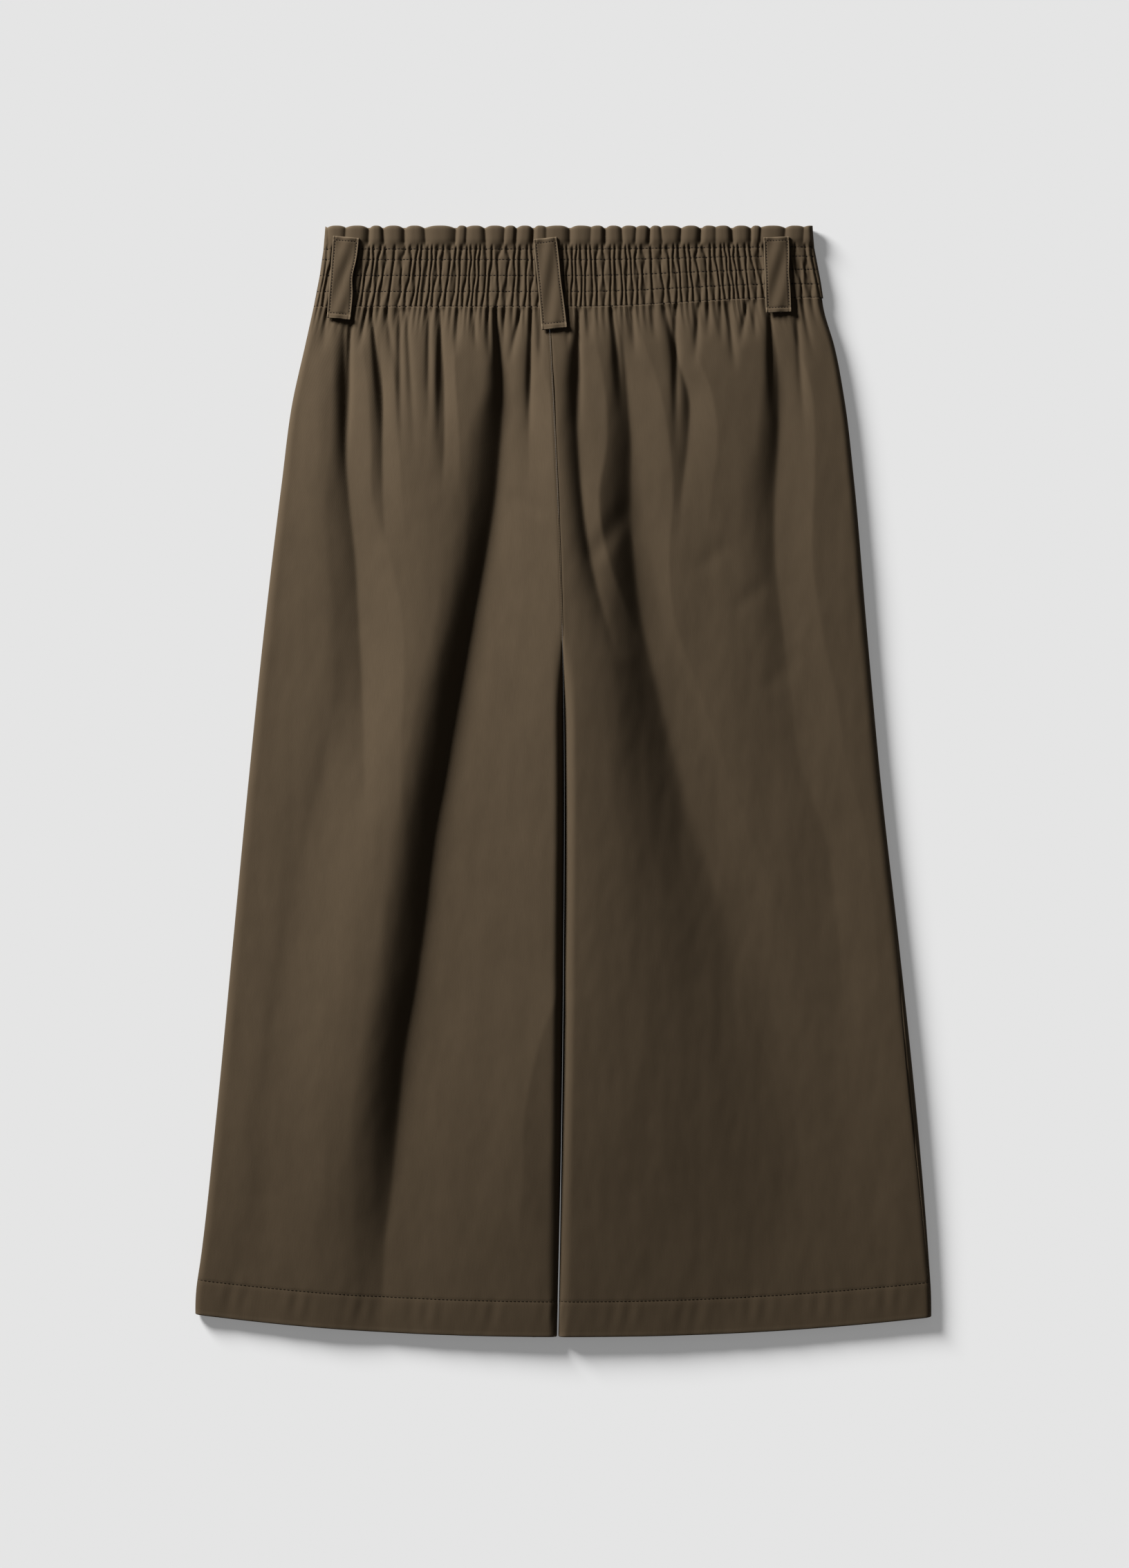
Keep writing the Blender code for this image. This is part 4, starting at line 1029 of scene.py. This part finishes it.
def casing_point(q, down, edge_wave):
    """A point of the waist's outer face. down is 0 at the frill's edge and 1 at row 1."""
    level = np.interp(down, range(6), [FRILL_Y] + [row.y for row in SHIRRING])
    left, right = follow(level, OUTLINE, "left"), follow(level, OUTLINE, "right")
    roll, edge = follow(level, LAY, "roll"), follow(level, LAY, "left_edge")
    x, up_left, up_right, on_top = flat_tube(q, left, right, roll, roll)
    hollow = frill_hollow(x, np.ones_like(x))
    rows = shirring_lines(x, FRILL_Y + edge_wave * (FRILL_EDGE_LEVEL - hollow))
    i = np.clip(np.floor(down).astype(int), 0, len(SHIRRING) - 1)
    high = np.take_along_axis(rows, i[None], axis=0)[0]
    low = np.take_along_axis(rows, i[None] + 1, axis=0)[0]
    y = high + (low - high) * (down - i)
    seam_z = edge / 2
    over = seam_z + (casing_height(x, y) - seam_z) * up_left * up_right
    under = seam_z * (1 - up_left * up_right)
    return np.stack([x, y, np.where(on_top, over, under)], axis=-1)


def casing_piece(front, columns, lines, fold_lines):
    """The back or the front of the waist: outer cloth, folded over at the frill's edge."""
    level = CASING_INSIDE["front" if front else "back"]
    wave = 0.0 if front else FRILL_EDGE_WAVE
    inside = [(d, 1.0) for d in reversed(fold_lines)]
    turn = [(0.0, deep) for deep in (0.8, 0.5, 0.2)]
    walk = np.array(inside + turn + [(d, 0.0) for d in lines])

    def lay(column, line):
        down, deep = walk[line].T
        q = columns[column] + (1.0 if front else 0.0)
        outer = casing_point(q, down, wave)
        across = columns[column]
        near = np.clip(np.minimum(across, 1 - across) / ROLL_SHARE, 0, 1)
        inner_z = outer[:, 2] + (level - outer[:, 2]) * np.sin(0.5 * math.pi * near)
        points = outer.copy()
        points[:, 2] = outer[:, 2] * (1 - deep) + inner_z * deep
        fold = (walk[line][:, 0] == 0.0) & (deep > 0)
        points[:, 1] += np.where(fold, FRILL_FOLD * np.sin(math.pi * deep), 0.0)
        pattern = np.stack([across * CASING_WIDTH, -points[:, 1]], axis=-1)
        wear = FRILL_WEAR * np.exp(-(((FRILL_Y - outer[:, 1]) / FRILL_WEAR_WIDTH) ** 2))
        return points, pattern, wear

    name = "waist_front_cloth" if front else "waist_back_cloth"
    piece = cloth_piece(name, len(columns) - 1, len(walk) - 1, lay, 0)
    piece.data.materials.append(leg_twill)
    return piece


CASING_COLUMNS = columns_across(10, 640)
CASING_LINES = steps((0.0, 1.0, 18), (1.0, 2.0, 9), (2.0, 3.0, 14), (3.0, 4.0, 14), (4.0, 5.0, 14))
waist_back = casing_piece(False, CASING_COLUMNS, CASING_LINES, [0.0, 0.5, 1.0, 2.0, 3.0, 4.0, 5.0])
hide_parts("waist_back")
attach(waist_back, "root")


# ---- Shirring stitches ----
# Five rows of thread over the pleats of the back, made like the hem's stitches. The thread is painted
# near-black, as painted shade of the pinched rows.
SHIRRING_STITCH, SHIRRING_PITCH = 0.0020, 0.0025
# Painted shade: the thread is near-black to stand in for the shadow in the pinched rows and sunken seams.
near_black_thread_painted_shade = thread("dark_thread_painted_shade", (0.006, 0.004, 0.003, 1))
ROW_ENDS, ROW_POINTS = (0.012, 0.988), 2400
ABOVE_ROW = 0.02  # keeps the thread within the band above its row, in bands

row_places = np.linspace(*ROW_ENDS, ROW_POINTS)
shirring_rows = [
    casing_point(row_places, np.full(ROW_POINTS, row - ABOVE_ROW), FRILL_EDGE_WAVE)
    for row in range(1, len(SHIRRING) + 1)
]
stitches("shirring_stitches", shirring_rows, SHIRRING_STITCH, SHIRRING_PITCH, near_black_thread_painted_shade)


# ---- Front of the waist ----
# The same doubled casing, lying flat on the table under the back.
FRONT_CASING_LINES = steps((0.0, 1.0, 4), (1.0, 5.0, 8))
waist_front = casing_piece(True, FRONT_COLUMNS, FRONT_CASING_LINES, [0.0, 1.0, 3.0, 5.0])
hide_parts("waist_front")
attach(waist_front, "root")


# ---- Belt loops ----
# Three straps of folded twill, sewn over the casing at both ends and edge-stitched.
Loop = namedtuple("Loop", "name top_x top_y bottom_x bottom_y top_width bottom_width dent")
BELT_LOOPS = [
    Loop("belt_loop_left", -0.1526, 0.3818, -0.1579, 0.3244, 0.0182, 0.0164, 0.0016),
    Loop("belt_loop_centre", -0.0129, 0.381, -0.0063, 0.3173, 0.0162, 0.0176, 0.0003),
    Loop("belt_loop_right", 0.1494, 0.3818, 0.1511, 0.329, 0.0178, 0.0176, 0.0006),
]
LOOP_CUT = (0.0172, 0.060)
LOOP_THICK = 0.0013
LOOP_CLEARANCE = 0.0004
LOOP_BOW, LOOP_BOW_POWER = 0.0006, 0.7  # how far the middle stands off, and how evenly
LOOP_COLUMNS, LOOP_LINES = 48, 96
LOOP_EDGE_SEAM = 0.0015  # the edge stitching, in from the edge
LOOP_FURROW, LOOP_FURROW_WIDTH = 0.00025, 0.0006
LOOP_BARS = (0.045, 0.935)  # where the two rows of end stitching lie
LOOP_LIP, LIP_RISE = 0.0006, 30.0  # the folded end below the lower row, and how steep it is
LOOP_BUCKLE, BUCKLE_TURNS = 0.0005, (9.0, 7.0, 40.0)  # along, across, and from loop to loop
LOOP_WEAR, LOOP_WEAR_WIDTH = 0.7, 0.0007
DENT_PLACE, DENT_LENGTH = 0.47, 0.16
LOOP_STITCH, LOOP_PITCH = 0.0014, 0.0021
LOOP_EDGE_POINTS, LOOP_END_POINTS = 200, 60


def loop_point(loop, across, t):
    """A point of a loop's outer face: across is -0.5 to 0.5, and t is 0 at the top."""
    width = loop.top_width + (loop.bottom_width - loop.top_width) * t
    length = math.hypot(loop.bottom_x - loop.top_x, loop.bottom_y - loop.top_y)
    lean_x = (loop.bottom_x - loop.top_x) / length
    lean_y = (loop.bottom_y - loop.top_y) / length
    dent = loop.dent * np.exp(-(((t - DENT_PLACE) / DENT_LENGTH) ** 2)) * np.clip(2 * across, 0, 1)
    x = loop.top_x + (loop.bottom_x - loop.top_x) * t - across * width * lean_y - dent
    y = loop.top_y + (loop.bottom_y - loop.top_y) * t + across * width * lean_x
    bow = LOOP_BOW * np.sin(math.pi * np.clip(t, 0, 1)) ** LOOP_BOW_POWER
    lift = FRILL_LIFT * ease((y - SHIRRING[0].y) / (FRILL_Y - SHIRRING[0].y))
    z = base_height(x, y) + lift + LOOP_CLEARANCE + LOOP_THICK + bow
    inside = (0.5 - np.abs(across)) * width
    furrow = np.exp(-(((inside - LOOP_EDGE_SEAM) / LOOP_FURROW_WIDTH) ** 2))
    for place in LOOP_BARS:
        furrow = np.maximum(furrow, np.exp(-(((t - place) * length / LOOP_FURROW_WIDTH) ** 2)))
    turns = BUCKLE_TURNS[0] * t + BUCKLE_TURNS[1] * across + BUCKLE_TURNS[2] * loop.top_x
    buckle = LOOP_BUCKLE * np.sin(turns) * np.cos(math.pi * across)
    lip = LOOP_LIP * ease((t - LOOP_BARS[1]) * LIP_RISE)
    return np.stack([x, y, z + buckle + lip - LOOP_FURROW * furrow], axis=-1)


def belt_loop(loop):
    """One strap, with its worn edges and ends."""

    def lay(column, line):
        across = column / LOOP_COLUMNS - 0.5
        t = line / LOOP_LINES
        points = loop_point(loop, across, t)
        pattern = np.stack([across * LOOP_CUT[0] + loop.top_x, -points[:, 1]], axis=-1)
        off_edge = (0.5 - np.abs(across)) * LOOP_CUT[0]
        off_end = np.minimum(t, 1 - t) * LOOP_CUT[1]
        wear = LOOP_WEAR * np.exp(-((np.minimum(off_edge, off_end) / LOOP_WEAR_WIDTH) ** 2))
        return points, pattern, wear

    piece = cloth_piece(loop.name + "_cloth", LOOP_COLUMNS, LOOP_LINES, lay, LOOP_THICK)
    piece.data.materials.append(leg_twill)
    return piece


def loop_seams(loop):
    """Where a strap is sewn: along both edges and across both ends."""
    t = np.linspace(*LOOP_BARS, LOOP_EDGE_POINTS)
    across = 0.5 - LOOP_EDGE_SEAM / loop.top_width
    edges = [loop_point(loop, np.full_like(t, side * across), t) for side in (-1, 1)]
    level = np.linspace(-across, across, LOOP_END_POINTS)
    ends = [loop_point(loop, level, np.full_like(level, place)) for place in LOOP_BARS]
    return edges + ends


for loop in BELT_LOOPS:
    strap = belt_loop(loop)
    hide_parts(loop.name)
    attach(strap, "root")
    # The loops' stitching uses the same near-black thread, painted shade of their sunken seams.
    stitches(loop.name + "_stitches", loop_seams(loop), LOOP_STITCH, LOOP_PITCH, near_black_thread_painted_shade)
